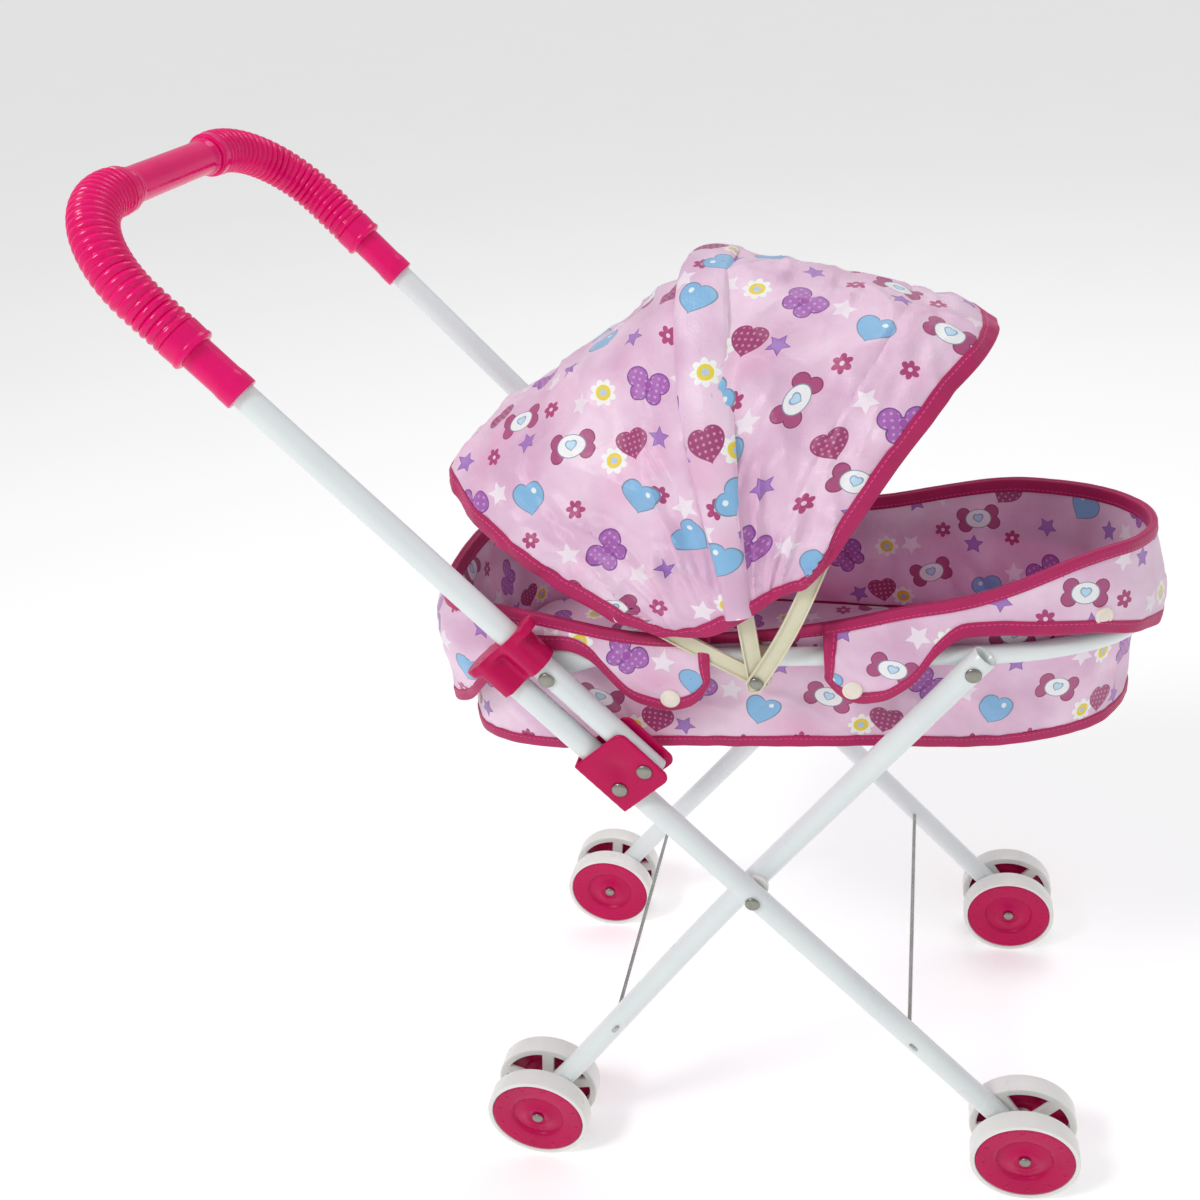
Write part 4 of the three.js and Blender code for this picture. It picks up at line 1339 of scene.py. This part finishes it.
# The lower edges of the two flaps, by distance from X = 0 along the ring: the front flap and the rear one.
FRONT_FLAP = [
    (78, 357), (80, 352), (83, 336), (92, 318), (104, 312), (117, 315), (131, 327), (139, 341), (150, 350),
    (170, 351), (192, 349), (216, 346), (236, 339), (262, 331), (300, 327),
]
REAR_FLAP = [
    (-36, 350), (-34, 344), (-32, 327), (-23, 312), (-8, 308), (9, 314), (19, 328), (27, 340), (37, 345),
    (62, 345), (72, 338), (84, 320), (98, 304), (115, 295), (135, 291), (190, 291),
]
# How far out from the ring's centre line the rim, the wall and the flaps stand.
RIM_IN = -2.6
BODY_IN = -6.2
FLAP_OUT = 6.9
FLOOR_EDGE = 279.5
FLAP_END_DEPTH = 20.0
CLOTH = 0.9


class Ring:
    """An even closed line round the bassinet with, at each point, the way out and the distance from X = 0."""

    def __init__(self):
        self.points = PLAN
        self.count = len(PLAN)
        self.out = []
        self.reach = []
        for i, point in enumerate(PLAN):
            ahead = (PLAN[(i + 1) % self.count] - PLAN[i - 1]).normalized()
            out = Vector((ahead.y, -ahead.x, 0))
            if out.dot(point - Vector((60, 0, RING_HEIGHT))) < 0:
                out = -out
            self.out.append(out)
        self.step = (PLAN[1] - PLAN[0]).length
        start = {
            side: min((i for i in range(self.count) if PLAN[i].y * side > 0), key=lambda i: abs(PLAN[i].x))
            for side in (-1, 1)
        }
        for i, point in enumerate(PLAN):
            side = 1 if point.y > 0 else -1
            away = abs(i - start[side])
            away = min(away, self.count - away) * self.step
            self.reach.append(away if point.x > PLAN[start[side]].x else -away)

    def place(self, i, out, height):
        """A place beside the line: so far out from its point i, at a height."""
        point = self.points[i % self.count] + self.out[i % self.count] * out
        return Vector((point.x, point.y, height))

    def rim(self, i):
        """The height of the bassinet's top edge at point i."""
        point = self.points[i % self.count]
        share = smooth(point.y, -34, 34)
        return mix(eased(RIM_RIGHT, point.x, 12), eased(RIM_LEFT, point.x, 12), share)


RING = Ring()


def body_out(i, height):
    """How far out the bassinet's wall stands at a height: in from the ring, and slack between its seams."""
    rim = RING.rim(i)
    share = smooth(height, RING_HEIGHT + 3, rim)
    out = mix(BODY_IN + 0.6, RIM_IN, share)
    if height < RING_HEIGHT - 6:
        below = (RING_HEIGHT - 6 - height) / (RING_HEIGHT - 6 - FLOOR_EDGE)
        point = RING.points[i % RING.count]
        at = (point.x + height * 0.5, point.y, height * 0.7)
        slack = ripple(at, 27, 2) * 2.2 + ripple(at, 12, 5) * 0.7 + ridges(at, 30, 9) * 2.4
        out += (slack - 1.9) * math.sin(math.pi * min(below, 1)) - 0.6 * below
        gather = ripple((point.x, point.y, 0), 7, 11) * 0.7
        out += gather * (1 - smooth(height, FLOOR_EDGE, FLOOR_EDGE + 14))
    return out


def floor_edge(i):
    """The bottom seam dips a little towards the head and sags between the corners."""
    point = RING.points[i % RING.count]
    dip = 3.2 * (1 - smooth(point.x, -110, 20)) - 1.2 * smooth(point.x, 180, 246)
    return FLOOR_EDGE - dip + 0.8 * ripple((point.x, point.y, 0), 45, 4)


def add_bassinet_body():
    """The wall from its bottom seam, up inside the ring, to the rim, with tape on both edges."""
    rows, flat = [], []
    steps = 46
    count = RING.count
    for k in range(steps + 1):
        row, cloth = [], []
        for i in range(count + 1):
            height = mix(floor_edge(i), RING.rim(i), k / steps)
            row.append(RING.place(i, body_out(i, height), height))
            cloth.append((i * RING.step, height - FLOOR_EDGE))
        row[-1] = row[0].copy()
        rows.append(row)
        flat.append(cloth)
    wall = make("bassinet_wall", [cloth_solid(rows, flat, CLOTH, seam=True)], printed_satin(), "bassinet",
                ["bassinet_tub"])

    bottom, top, _, _ = grid_edges([row[:-1] for row in rows])
    edges = [tape_solid(bottom, 5.4, 2.5, closed=True), tape_solid(top, 6.6, 2.5, closed=True)]
    make("bassinet_edge_tape", edges, binding_tape(), "bassinet")

    # The floor cloth is stretched flat across the bottom seam.
    rows, flat = [], []
    rings = 12
    for k in range(rings + 1):
        row, cloth = [], []
        share = 1 - k / rings * 0.985
        for i in range(0, count + 1, 3):
            edge = RING.place(i % count, body_out(i, floor_edge(i)), floor_edge(i))
            x, y = mix(63, edge.x, share), edge.y * share
            sag = 1.6 * (1 - share * share) + 0.35 * ripple((x, y, 0), 30, 6) * (1 - share**6)
            row.append(Vector((x, y, edge.z + 0.6 - sag)))
            cloth.append((x, y))
        row[-1] = row[0].copy()
        rows.append(row)
        flat.append(cloth)
    floor_cloth = make("bassinet_floor_cloth", [cloth_solid(rows, flat, CLOTH, seam=True)],
                       printed_satin(), "bassinet")


def add_mattress():
    """A board in a sewn cloth cover: crowned on top, with soft edges and pulled-in tufts."""
    low, high = span("floor_board")
    base = low.z
    top = high.z + 1.2
    rings, flats = [], []
    profile = [(2.2, base), (-0.2, base + 0.4), (0.0, base + 1.2), (0.0, base + 2.6), (0.5, top - 0.4)]
    profile += [(1.6, top)] + [(4 + 6 * k, top + 0.9 * smooth(k, 0, 6)) for k in range(1, 12)]
    for inset, height in profile:
        ring, flat = [], []
        for i in range(0, RING.count, 2):
            point = RING.place(i, -12.6 - min(inset, 6), 0)
            share = 1 - max(inset - 6, 0) / 66
            x, y = mix(62, point.x, share), point.y * share
            lift = 0.5 * ripple((x, y, 0), 24, 9) if height >= top else 0
            if height > top:
                lift -= 1.2 * math.exp(-((x % 80 - 40) ** 2 + (abs(y) - 22) ** 2) / 30)
            ring.append(Vector((x, y, height + lift)))
            flat.append((x * MM, y * MM))
        rings.append(ring)
        flats += flat
    points, faces = loft(rings)
    mattress = make("bassinet_mattress", [(points, faces, flats)], printed_satin(), "bassinet",
                    ["floor_board"])


def flap_out(i, height):
    """How far out a flap stands: it leaves the rim, rolls over the ring and hangs outside it."""
    rim = RING.rim(i)
    drop = rim - height
    over = smooth(drop, -1.0, max(rim - RING_HEIGHT - 1, 9) * 0.98)
    tucked = smooth(RING_HEIGHT - height, 2, 34)
    out = mix(RIM_IN + 1.5, FLAP_OUT, over**0.75) - 3.4 * tucked
    point = RING.points[i % RING.count]
    at = (point.x + height * 0.4, point.y, height)
    out += (1.0 * ripple(at, 21, 7) + 0.5 * ripple(at, 9, 1) + 1.1 * ridges(at, 24, 4)) * over
    return out


def flap_rows(first, last, edge_table, flip):
    """The rows of a flap from one end to the other, from its rim down to its shaped lower edge."""
    steps = 26

    def lowest(i):
        """The height of the flap's lower edge at point i of the ring."""
        reach = RING.reach[i % RING.count] * flip
        return min(eased(edge_table, reach, 2.2), RING.rim(i) - 1.7)

    # The flap's ends are cut straight down from the rim, so it starts where it is already deep.
    columns = list(range(first, last + 1))
    while RING.rim(columns[0]) - lowest(columns[0]) < FLAP_END_DEPTH:
        columns.pop(0)
    while RING.rim(columns[-1]) - lowest(columns[-1]) < FLAP_END_DEPTH:
        columns.pop()
    rows, flat = [], []
    for k in range(steps + 1):
        row, cloth = [], []
        for i in columns:
            rim = RING.rim(i) + 0.3
            height = mix(rim, lowest(i), k / steps)
            row.append(RING.place(i, flap_out(i, height), height))
            cloth.append((i * RING.step + 31 * flip, height * 1.08 + 17))
        rows.append(row)
        flat.append(cloth)
    return rows, flat


def add_flaps():
    """The two shaped flaps that fold over the ring, their tape, and the press studs that hold them."""
    count = RING.count
    right = [i for i in range(count) if PLAN[i].y < 0]
    left = [i for i in range(count) if PLAN[i].y > 0]

    def nearest(side, reach):
        return min(right if side < 0 else left, key=lambda i: abs(RING.reach[i] - reach))

    spans = {
        "front": (nearest(1, 79) - count, nearest(-1, 79), FRONT_FLAP, 1),
        "rear": (nearest(-1, 35), nearest(1, 35), REAR_FLAP, -1),
    }
    for name, (first, last, table, flip) in spans.items():
        rows, flat = flap_rows(first, last, table, flip)
        flap = make(f"flap_{name}", [cloth_solid(rows, flat, CLOTH)], printed_satin(), "bassinet")
        top, low_edge, start, end = grid_edges(rows)
        tapes = [tape_solid(start, 6.0), tape_solid(end, 6.0), tape_solid(low_edge, 6.2, 2.5)]
        tapes.append(tape_solid(top, 5.0, 2.7))
        make(f"flap_tape_{name}", tapes, binding_tape(), "bassinet")

    studs = []
    for side in (-1, 1):
        for reach, table, flip, lift in (
            (11, REAR_FLAP, -1, 7.0), (101, FRONT_FLAP, 1, 7.5),
            (218, FRONT_FLAP, 1, 7.5), (-134, REAR_FLAP, -1, 6.5),
        ):
            i = nearest(side, reach)
            height = eased(table, reach * flip, 2.2) + lift
            at = RING.place(i, flap_out(i, height) + 0.4, height)
            studs.append((at, RING.out[i]))
    cap = [
        (0.0, -1.2), (5.2, -1.2), (5.9, -0.6), (6.1, 0.1), (5.9, 0.75), (5.2, 1.15), (4.2, 1.25),
        (3.9, 1.05), (3.2, 1.1), (1.5, 1.25), (0.0, 1.28),
    ]
    solids = [lathe([(r * 0.83, h) for r, h in cap], at, out, 28) for at, out in studs]
    make("press_studs", solids, snap_plastic(), "bassinet")


# ---- Canopy ----
ARCH = 181.6
COVER = 0.8
ARCH_HALF = {"front": 92.4, "middle": 91.0, "rear": 89.4}
# The cover's front edge by distance from the hub, its lower edge by angle, and its rear edge by distance.
FRONT_EDGE = [(40, 67), (56, 65), (77, 60.5), (124, 58.5), (160, 56.3), (182, 53.2)]
REAR_EDGE = [(45, 151), (73, 155), (182, 154.6)]
HEM = [(60, 62), (68, 55), (76, 46), (90, 38), (108, 33), (124, 32), (138, 35), (149, 44), (155, 56)]


def canopy_place(turn, around):
    """A place on the cover, with its angle and its distance from the hub.

    turn runs from the front edge (0) past the middle bow (0.5) to the rear edge (1), and around from the
    hem at the right side (0) over the top to the hem at the left side (1).
    """
    share = turn * 2 if turn <= 0.5 else turn * 2 - 1
    if turn <= 0.5:
        half = mix(ARCH_HALF["front"], ARCH_HALF["middle"], share)
    else:
        half = mix(ARCH_HALF["middle"], ARCH_HALF["rear"], share)

    def angle_at(radius):
        if turn <= 0.5:
            return mix(along(FRONT_EDGE, radius), BOW_ANGLES["middle"], share)
        return mix(BOW_ANGLES["middle"], along(REAR_EDGE, radius), share)

    foot = eased(HEM, angle_at(60), 7)
    start = math.asin(min(foot / ARCH, 1) ** 1.2)
    lap = mix(start, math.pi - start, around)
    radius = ARCH * abs(math.sin(lap)) ** ARCH_POWER
    angle = angle_at(radius)
    side = math.copysign(abs(math.cos(lap)) ** ARCH_POWER, math.cos(lap))
    # The cloth is pulled straight between two bows, and fills out again a little near them.
    if angle < BOW_ANGLES["middle"]:
        low, high, fill = bow_angle("front", radius) + 2, BOW_ANGLES["middle"], 0.2
    else:
        low, high, fill = BOW_ANGLES["middle"], BOW_ANGLES["rear"], 0.12
    if low < angle < high:
        mid, spread = (low + high) / 2, math.radians(high - low) / 2
        chord = math.cos(spread) / math.cos(math.radians(angle - mid))
        pulled = mix(chord, 1, fill)
        top = smooth(radius, 60, 150)
        radius *= mix(1, pulled, top)
        dip = math.cos(math.radians(angle - mid) / spread * math.pi / 2)
        half -= 4.2 * dip * smooth(radius, 30, 90) * (1 - 0.3 * top)
    place = from_hub(angle, radius, -half * side)
    return place, angle, radius


def canopy_creases(place, angle, radius):
    """Creases that run out from the hub, puckers beside the bows, and slack folds in the cloth between."""
    low = 1 - smooth(radius, 70, 170)
    mid = 1 - smooth(abs(angle - BOW_ANGLES["middle"]), 2, 30)
    lean = angle + 9 * ripple(place, 70, 5)
    fan = ridges((lean * 1.15, radius * 0.12, math.copysign(40, place.y)), 9, 3) - 0.3
    fan += 0.5 * ripple((lean, radius * 0.15, math.copysign(40, place.y)), 5, 6)
    crease = 4.6 * low * fan * smooth(radius, 36, 70)
    crease += 1.3 * mid * ripple((angle * 3.0, radius * 0.4, place.y * 0.4), 14, 8)
    crease += 2.8 * ripple((angle * 1.8, radius * 0.55, place.y * 0.35), 24, 2)
    crease += 2.8 * ridges((angle * 1.5, radius * 0.8, place.y * 0.5), 32, 10)
    crease += 1.3 * ridges((place.x, place.y * 0.6, place.z), 19, 21)
    crease += 0.6 * ripple(place, 10, 6)
    if 53 < angle < 66:
        crease += 0.8 * ripple((angle * 2.0, radius * 1.0, place.y), 9, 12)
    return crease


# A seam across the front panel, as angles at distances from the hub.
SEAM = [(60, 80), (88, 77.5), (144, 71), (182, 66)]


def canopy_grid(first, last, columns, centre, shift):
    """A panel between two shares of the cover's turn, and where each place lies on its flat cloth.

    The flat cloth is measured from the angle centre, and shift sets where the print starts on it.
    """
    rows, flat = [], []
    laps = 210
    for k in range(laps + 1):
        row, cloth = [], []
        for c in range(columns + 1):
            place, angle, radius = canopy_place(mix(first, last, c / columns), k / laps)
            before = rows[-1][c][0] if k else place
            reach = (flat[-1][c][1] if k else shift[1]) + (place - before).length
            row.append((place, angle, radius))
            cloth.append((math.radians(angle - centre) * max(radius, 30) + shift[0], reach))
        rows.append(row)
        flat.append(cloth)
    # The creases stand off the smooth cover, along its face.
    final = []
    for k in range(laps + 1):
        row = []
        for c in range(columns + 1):
            place, angle, radius = rows[k][c]
            along_row = rows[k][min(c + 1, columns)][0] - rows[k][max(c - 1, 0)][0]
            down = rows[min(k + 1, laps)][c][0] - rows[max(k - 1, 0)][c][0]
            face = along_row.cross(down).normalized()
            if face.dot(place - HUB - Vector((0, 0, 20))) < 0:
                face = -face
            off = canopy_creases(place, angle, radius) * smooth(min(k, laps - k) / laps, 0.0, 0.03)
            off -= math.exp(-(math.radians(angle - along(SEAM, radius)) * radius / 1.3) ** 2)
            bow = min(math.radians(abs(angle - bow_angle(b, radius))) * radius for b in BOW_ANGLES)
            off = mix(max(off, 0.0), off, smooth(bow, 5, 16)) + 1.1 * (1 - smooth(bow, 4, 12))
            row.append(place + face * off)
        final.append(row)
    return final, flat


def add_canopy():
    """The cover in its two panels, the pocket over the middle bow, and tape all round."""
    front, flat_front = canopy_grid(0.0, 0.5, 66, centre=76, shift=(12, 4))
    rear, flat_rear = canopy_grid(0.5, 1.0, 78, centre=125, shift=(71, 33))
    bows = {name: from_hub(angle, 75) * MM for name, angle in BOW_ANGLES.items()}
    cover_front = make("canopy_front_panel", [cloth_solid(front, flat_front, COVER)], printed_satin(), None,
                       ["canopy_cover_front"])
    cover_rear = make("canopy_rear_panel", [cloth_solid(rear, flat_rear, COVER)], printed_satin(), None,
                      ["canopy_cover_rear"])
    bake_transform(cover_front)
    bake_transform(cover_rear)

    for name, rows, bodies, ends in (
        ("front", front, ("canopy_middle", "canopy_front"), (bows["middle"], bows["front"])),
        ("rear", rear, ("canopy_rear", "canopy_middle"), (bows["rear"], bows["middle"])),
    ):
        right, left, first, last = grid_edges(rows)
        free = first if name == "front" else last
        tapes = [tape_solid(right, 7.0, 3.0), tape_solid(left, 7.0, 3.0), tape_solid(free, 8.0, 2.6)]
        made = make(f"canopy_tape_{name}", tapes, binding_tape(), None)
        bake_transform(made)
    add_bow_pocket()


def add_bow_pocket():
    """The doubled strip over the middle bow: wide at the top, narrow at its ends, ruffled between."""
    laps, columns = 150, 16
    rows, flat = [], []
    reach = 0.0
    before = None
    for k in range(laps + 1):
        over_bow, _, radius = canopy_place(0.5, mix(0.004, 0.996, k / laps))
        reach += (over_bow - before).length if before else 0.0
        before = over_bow
        width = mix(13.5, 25.0, smooth(radius, 45, 150))
        # Near the hem the pocket stands out sideways, and over the top it stands up.
        outward = abs(over_bow.y) / ARCH_HALF["middle"]
        row, cloth = [], []
        for c in range(columns + 1):
            share = c / columns
            across = (share - 0.62) * width
            angle = BOW_ANGLES["middle"] - math.degrees(across / max(radius, 30))
            out = 4.4 * math.sin(math.pi * share**0.8) ** 0.5
            out += 0.9 * ripple((reach * 0.5, share * 20, 0), 9, 14) + 1.0
            rise = out * (1 - smooth(outward, 0.72, 0.97))
            wide = math.copysign(out * smooth(outward, 0.5, 0.9), over_bow.y)
            row.append(from_hub(angle, radius + rise, over_bow.y + wide))
            cloth.append((across + 55, reach + 50))
        rows.append(row)
        flat.append(cloth)
    pocket = make("canopy_bow_pocket", [cloth_solid(rows, flat, COVER)], printed_satin(), "canopy_middle")


# ---- Stage, in metres ----
FLOOR_REACH = 40.0
FLOOR_DROP = 0.00015
# Each lamp: its name, place, size and power.
LAMPS = [
    ("key", (-0.85, -0.95, 1.7), 0.45, 12.5),
    ("fill", (1.7, -1.0, 1.2), 1.2, 2.2),
    ("top", (0.3, 0.9, 1.9), 0.8, 6.0),
]
CAMERA_PLACE = (0.1311, -0.6064, 0.6661)
CAMERA_YAW, CAMERA_PITCH, CAMERA_ROLL = 0.1924, 0.5150, -0.0730


def add_floor():
    """A pale floor that fades into the world."""
    corners = [
        (x * FLOOR_REACH, y * FLOOR_REACH, -FLOOR_DROP) for x, y in ((-1, -1), (1, -1), (1, 1), (-1, 1))
    ]
    mesh = bpy.data.meshes.new("floor")
    mesh.from_pydata(corners, [], [(0, 1, 2, 3)])
    floor = bpy.data.objects.new("floor", mesh)
    bpy.context.scene.collection.objects.link(floor)
    material, tree = new_material("painted_studio_floor")
    if tree:
        # Matt emulsion on a studio floor: nearly white, with the faintest mottle from the roller.
        place = add_node(tree, "ShaderNodeTexCoord").outputs["Object"]
        mottle = add_node(tree, "ShaderNodeTexNoise", {"Vector": place, "Scale": 4.0, "Detail": 2.0})
        colour = add_node(tree, MIX, {
            0: mottle, A_COLOUR: linear("#F6F6F6"), B_COLOUR: linear("#FAFAFA"),
        }, data_type="RGBA")
        surface(tree, colour.outputs[2], 0.9, mottle.outputs["Fac"], 0.02, {
            "Specular IOR Level": 0.1, "Emission Color": linear("#FFFFFF"), "Emission Strength": 0.3,
        })
    mesh.materials.append(material)


def add_lights():
    """A pale world and three soft lamps, all aimed at the stroller's middle."""
    scene = bpy.context.scene
    world = bpy.data.worlds.new("studio")
    world.use_nodes = True
    world.node_tree.nodes["Background"].inputs["Color"].default_value = linear("#FDFDFF")
    world.node_tree.nodes["Background"].inputs["Strength"].default_value = 0.5
    scene.world = world
    target = Vector((0.03, 0.0, 0.28))
    for name, place, width, power in LAMPS:
        lamp = bpy.data.lights.new(name, "AREA")
        lamp.size = width
        lamp.energy = power
        holder = bpy.data.objects.new(name, lamp)
        holder.location = place
        holder.rotation_euler = (target - Vector(place)).to_track_quat("-Z", "Y").to_euler()
        scene.collection.objects.link(holder)


def add_camera():
    """The camera, from its yaw, its tilt down and its roll in radians."""
    scene = bpy.context.scene
    flat = math.cos(CAMERA_PITCH)
    ahead = Vector((-math.sin(CAMERA_YAW) * flat, math.cos(CAMERA_YAW) * flat, -math.sin(CAMERA_PITCH)))
    level = Vector((math.cos(CAMERA_YAW), math.sin(CAMERA_YAW), 0))
    lift = level.cross(ahead)
    right = level * math.cos(CAMERA_ROLL) + lift * math.sin(CAMERA_ROLL)
    up = lift * math.cos(CAMERA_ROLL) - level * math.sin(CAMERA_ROLL)
    lens = bpy.data.cameras.new("camera")
    lens.sensor_width = 36
    lens.lens = 38.49
    lens.shift_x = -0.0866
    lens.shift_y = 0.009
    lens.clip_end = 100
    camera = bpy.data.objects.new("camera", lens)
    turn = Matrix((right, up, -ahead)).transposed().to_4x4()
    camera.matrix_world = Matrix.Translation(CAMERA_PLACE) @ turn
    scene.collection.objects.link(camera)
    scene.camera = camera
    scene.view_settings.view_transform = "Standard"


# ---- Settings, operators and panel ----
class StrollerSizes(bpy.types.PropertyGroup):
    tube_radius: bpy.props.FloatProperty(
        name="Tube radius", description="Outside radius of the legs and handle", default=0.00635,
        min=0.004, max=0.008, precision=5, unit="LENGTH",
    )
    ring_radius: bpy.props.FloatProperty(
        name="Ring radius", description="Outside radius of the bassinet's frame tube", default=0.00475,
        min=0.003, max=0.006, precision=5, unit="LENGTH",
    )
    wheel_radius: bpy.props.FloatProperty(
        name="Wheel radius", description="Outside radius of each wheel", default=0.0305,
        min=0.029, max=0.031, precision=5, unit="LENGTH",
    )
    grip_ribs: bpy.props.IntProperty(
        name="Grip ribs", description="How many round ribs each grip has", default=26, min=8, max=60,
    )


class StrollerColours(bpy.types.PropertyGroup):
    satin: bpy.props.FloatVectorProperty(
        name="Satin", description="Ground colour of the printed satin",
        default=linear("#FAD7EC"), size=4, min=0, max=1, subtype="COLOR",
    )
    # Painted shade: the darker pink laid over the satin's ground in broad patches, standing in for the shaded
    # sides of its folds.
    satin_painted_shade: bpy.props.FloatVectorProperty(
        name="Satin shade", description="Deeper colour in the satin's ground",
        default=linear("#E2B4D2"), size=4, min=0, max=1, subtype="COLOR",
    )
    # Painted glow: saturated pink laid in streaks over the satin's ground, standing in for light shining
    # through its folds.
    satin_fold_glow: bpy.props.FloatVectorProperty(
        name="Satin fold", description="Saturated pink where the satin doubles on itself",
        default=linear("#F79FC6"), size=4, min=0, max=1, subtype="COLOR",
    )
    tape: bpy.props.FloatVectorProperty(
        name="Tape", description="Colour of the binding tape",
        default=linear("#C40E62"), size=4, min=0, max=1, subtype="COLOR",
    )
    tape_shade: bpy.props.FloatVectorProperty(
        name="Tape shade", description="Deeper colour in the binding tape",
        default=linear("#A00A50"), size=4, min=0, max=1, subtype="COLOR",
    )


def length_of(name):
    """One of the stroller's sizes, in millimetres."""
    return getattr(bpy.context.scene.stroller_sizes, name) / MM


def colour_of(name):
    """One of the stroller's cloth colours."""
    return tuple(getattr(bpy.context.scene.stroller_colours, name))


class STROLLER_OT_legs(bpy.types.Operator):
    """Make the crossed legs, their rivets and washers, and the cross wires"""

    bl_idname = "stroller.legs"
    bl_label = "Legs, rivets and wires"

    def execute(self, context):
        add_front_legs()
        add_rear_legs()
        add_rivets()
        add_wires()
        return {"FINISHED"}


class STROLLER_OT_wheels(bpy.types.Operator):
    """Make the eight wheels with their pink discs, and the four axle rivets"""

    bl_idname = "stroller.wheels"
    bl_label = "Wheels"

    def execute(self, context):
        add_wheels()
        return {"FINISHED"}


class STROLLER_OT_handle(bpy.types.Operator):
    """Make the handle's tubes, its moulded sleeve and the ribbed grips"""

    bl_idname = "stroller.handle"
    bl_label = "Handle and grips"

    def execute(self, context):
        add_handle_tubes()
        add_handle_bar()
        add_grips()
        return {"FINISHED"}


class STROLLER_OT_locks(bpy.types.Operator):
    """Make the moulded pivot brackets and lock sliders"""

    bl_idname = "stroller.locks"
    bl_label = "Brackets and locks"

    def execute(self, context):
        add_brackets_and_locks()
        return {"FINISHED"}


class STROLLER_OT_ring(bpy.types.Operator):
    """Make the bassinet's oval tube frame"""

    bl_idname = "stroller.ring"
    bl_label = "Bassinet frame"

    def execute(self, context):
        add_ring()
        return {"FINISHED"}


class STROLLER_OT_bows(bpy.types.Operator):
    """Make the canopy's three bows and the clips that carry them"""

    bl_idname = "stroller.bows"
    bl_label = "Canopy bows and hubs"

    def execute(self, context):
        add_bows()
        add_hubs()
        return {"FINISHED"}


class STROLLER_OT_bassinet(bpy.types.Operator):
    """Make the bassinet's cloth wall, floor and mattress"""

    bl_idname = "stroller.bassinet"
    bl_label = "Bassinet"

    def execute(self, context):
        add_bassinet_body()
        add_mattress()
        return {"FINISHED"}


class STROLLER_OT_flaps(bpy.types.Operator):
    """Make the two flaps over the ring, with their tape and press studs"""

    bl_idname = "stroller.flaps"
    bl_label = "Flaps"

    def execute(self, context):
        add_flaps()
        return {"FINISHED"}


class STROLLER_OT_canopy(bpy.types.Operator):
    """Make the canopy's cover, its bow pocket and its tape"""

    bl_idname = "stroller.canopy"
    bl_label = "Canopy"

    def execute(self, context):
        add_canopy()
        return {"FINISHED"}


class STROLLER_OT_stage(bpy.types.Operator):
    """Make the floor, the lights and the camera"""

    bl_idname = "stroller.stage"
    bl_label = "Stage"

    def execute(self, context):
        add_floor()
        add_lights()
        add_camera()
        return {"FINISHED"}


OPERATORS = (
    STROLLER_OT_legs, STROLLER_OT_wheels, STROLLER_OT_handle, STROLLER_OT_locks, STROLLER_OT_ring,
    STROLLER_OT_bows, STROLLER_OT_bassinet, STROLLER_OT_flaps, STROLLER_OT_canopy, STROLLER_OT_stage,
)


class STROLLER_PT_panel(bpy.types.Panel):
    """Lists the stroller's settings and the pieces that can be made"""

    bl_idname = "STROLLER_PT_panel"
    bl_label = "Doll stroller"
    bl_space_type = "VIEW_3D"
    bl_region_type = "UI"
    bl_category = "Stroller"

    def draw(self, context):
        for group in (context.scene.stroller_sizes, context.scene.stroller_colours):
            for name in group.__annotations__:
                self.layout.prop(group, name)
        for operator in OPERATORS:
            self.layout.operator(operator.bl_idname)


CLASSES = (StrollerSizes, StrollerColours, *OPERATORS, STROLLER_PT_panel)


def register():
    for item in CLASSES:
        bpy.utils.register_class(item)
    bpy.types.Scene.stroller_sizes = bpy.props.PointerProperty(type=StrollerSizes)
    bpy.types.Scene.stroller_colours = bpy.props.PointerProperty(type=StrollerColours)


def unregister():
    del bpy.types.Scene.stroller_colours
    del bpy.types.Scene.stroller_sizes
    for item in reversed(CLASSES):
        bpy.utils.unregister_class(item)


def main():
    register()
    bpy.ops.stroller.legs()
    bpy.ops.stroller.wheels()
    bpy.ops.stroller.handle()
    bpy.ops.stroller.locks()
    bpy.ops.stroller.ring()
    bpy.ops.stroller.bows()
    bpy.ops.stroller.bassinet()
    bpy.ops.stroller.flaps()
    bpy.ops.stroller.canopy()
    bpy.ops.stroller.stage()


if __name__ == "__main__":
    main()
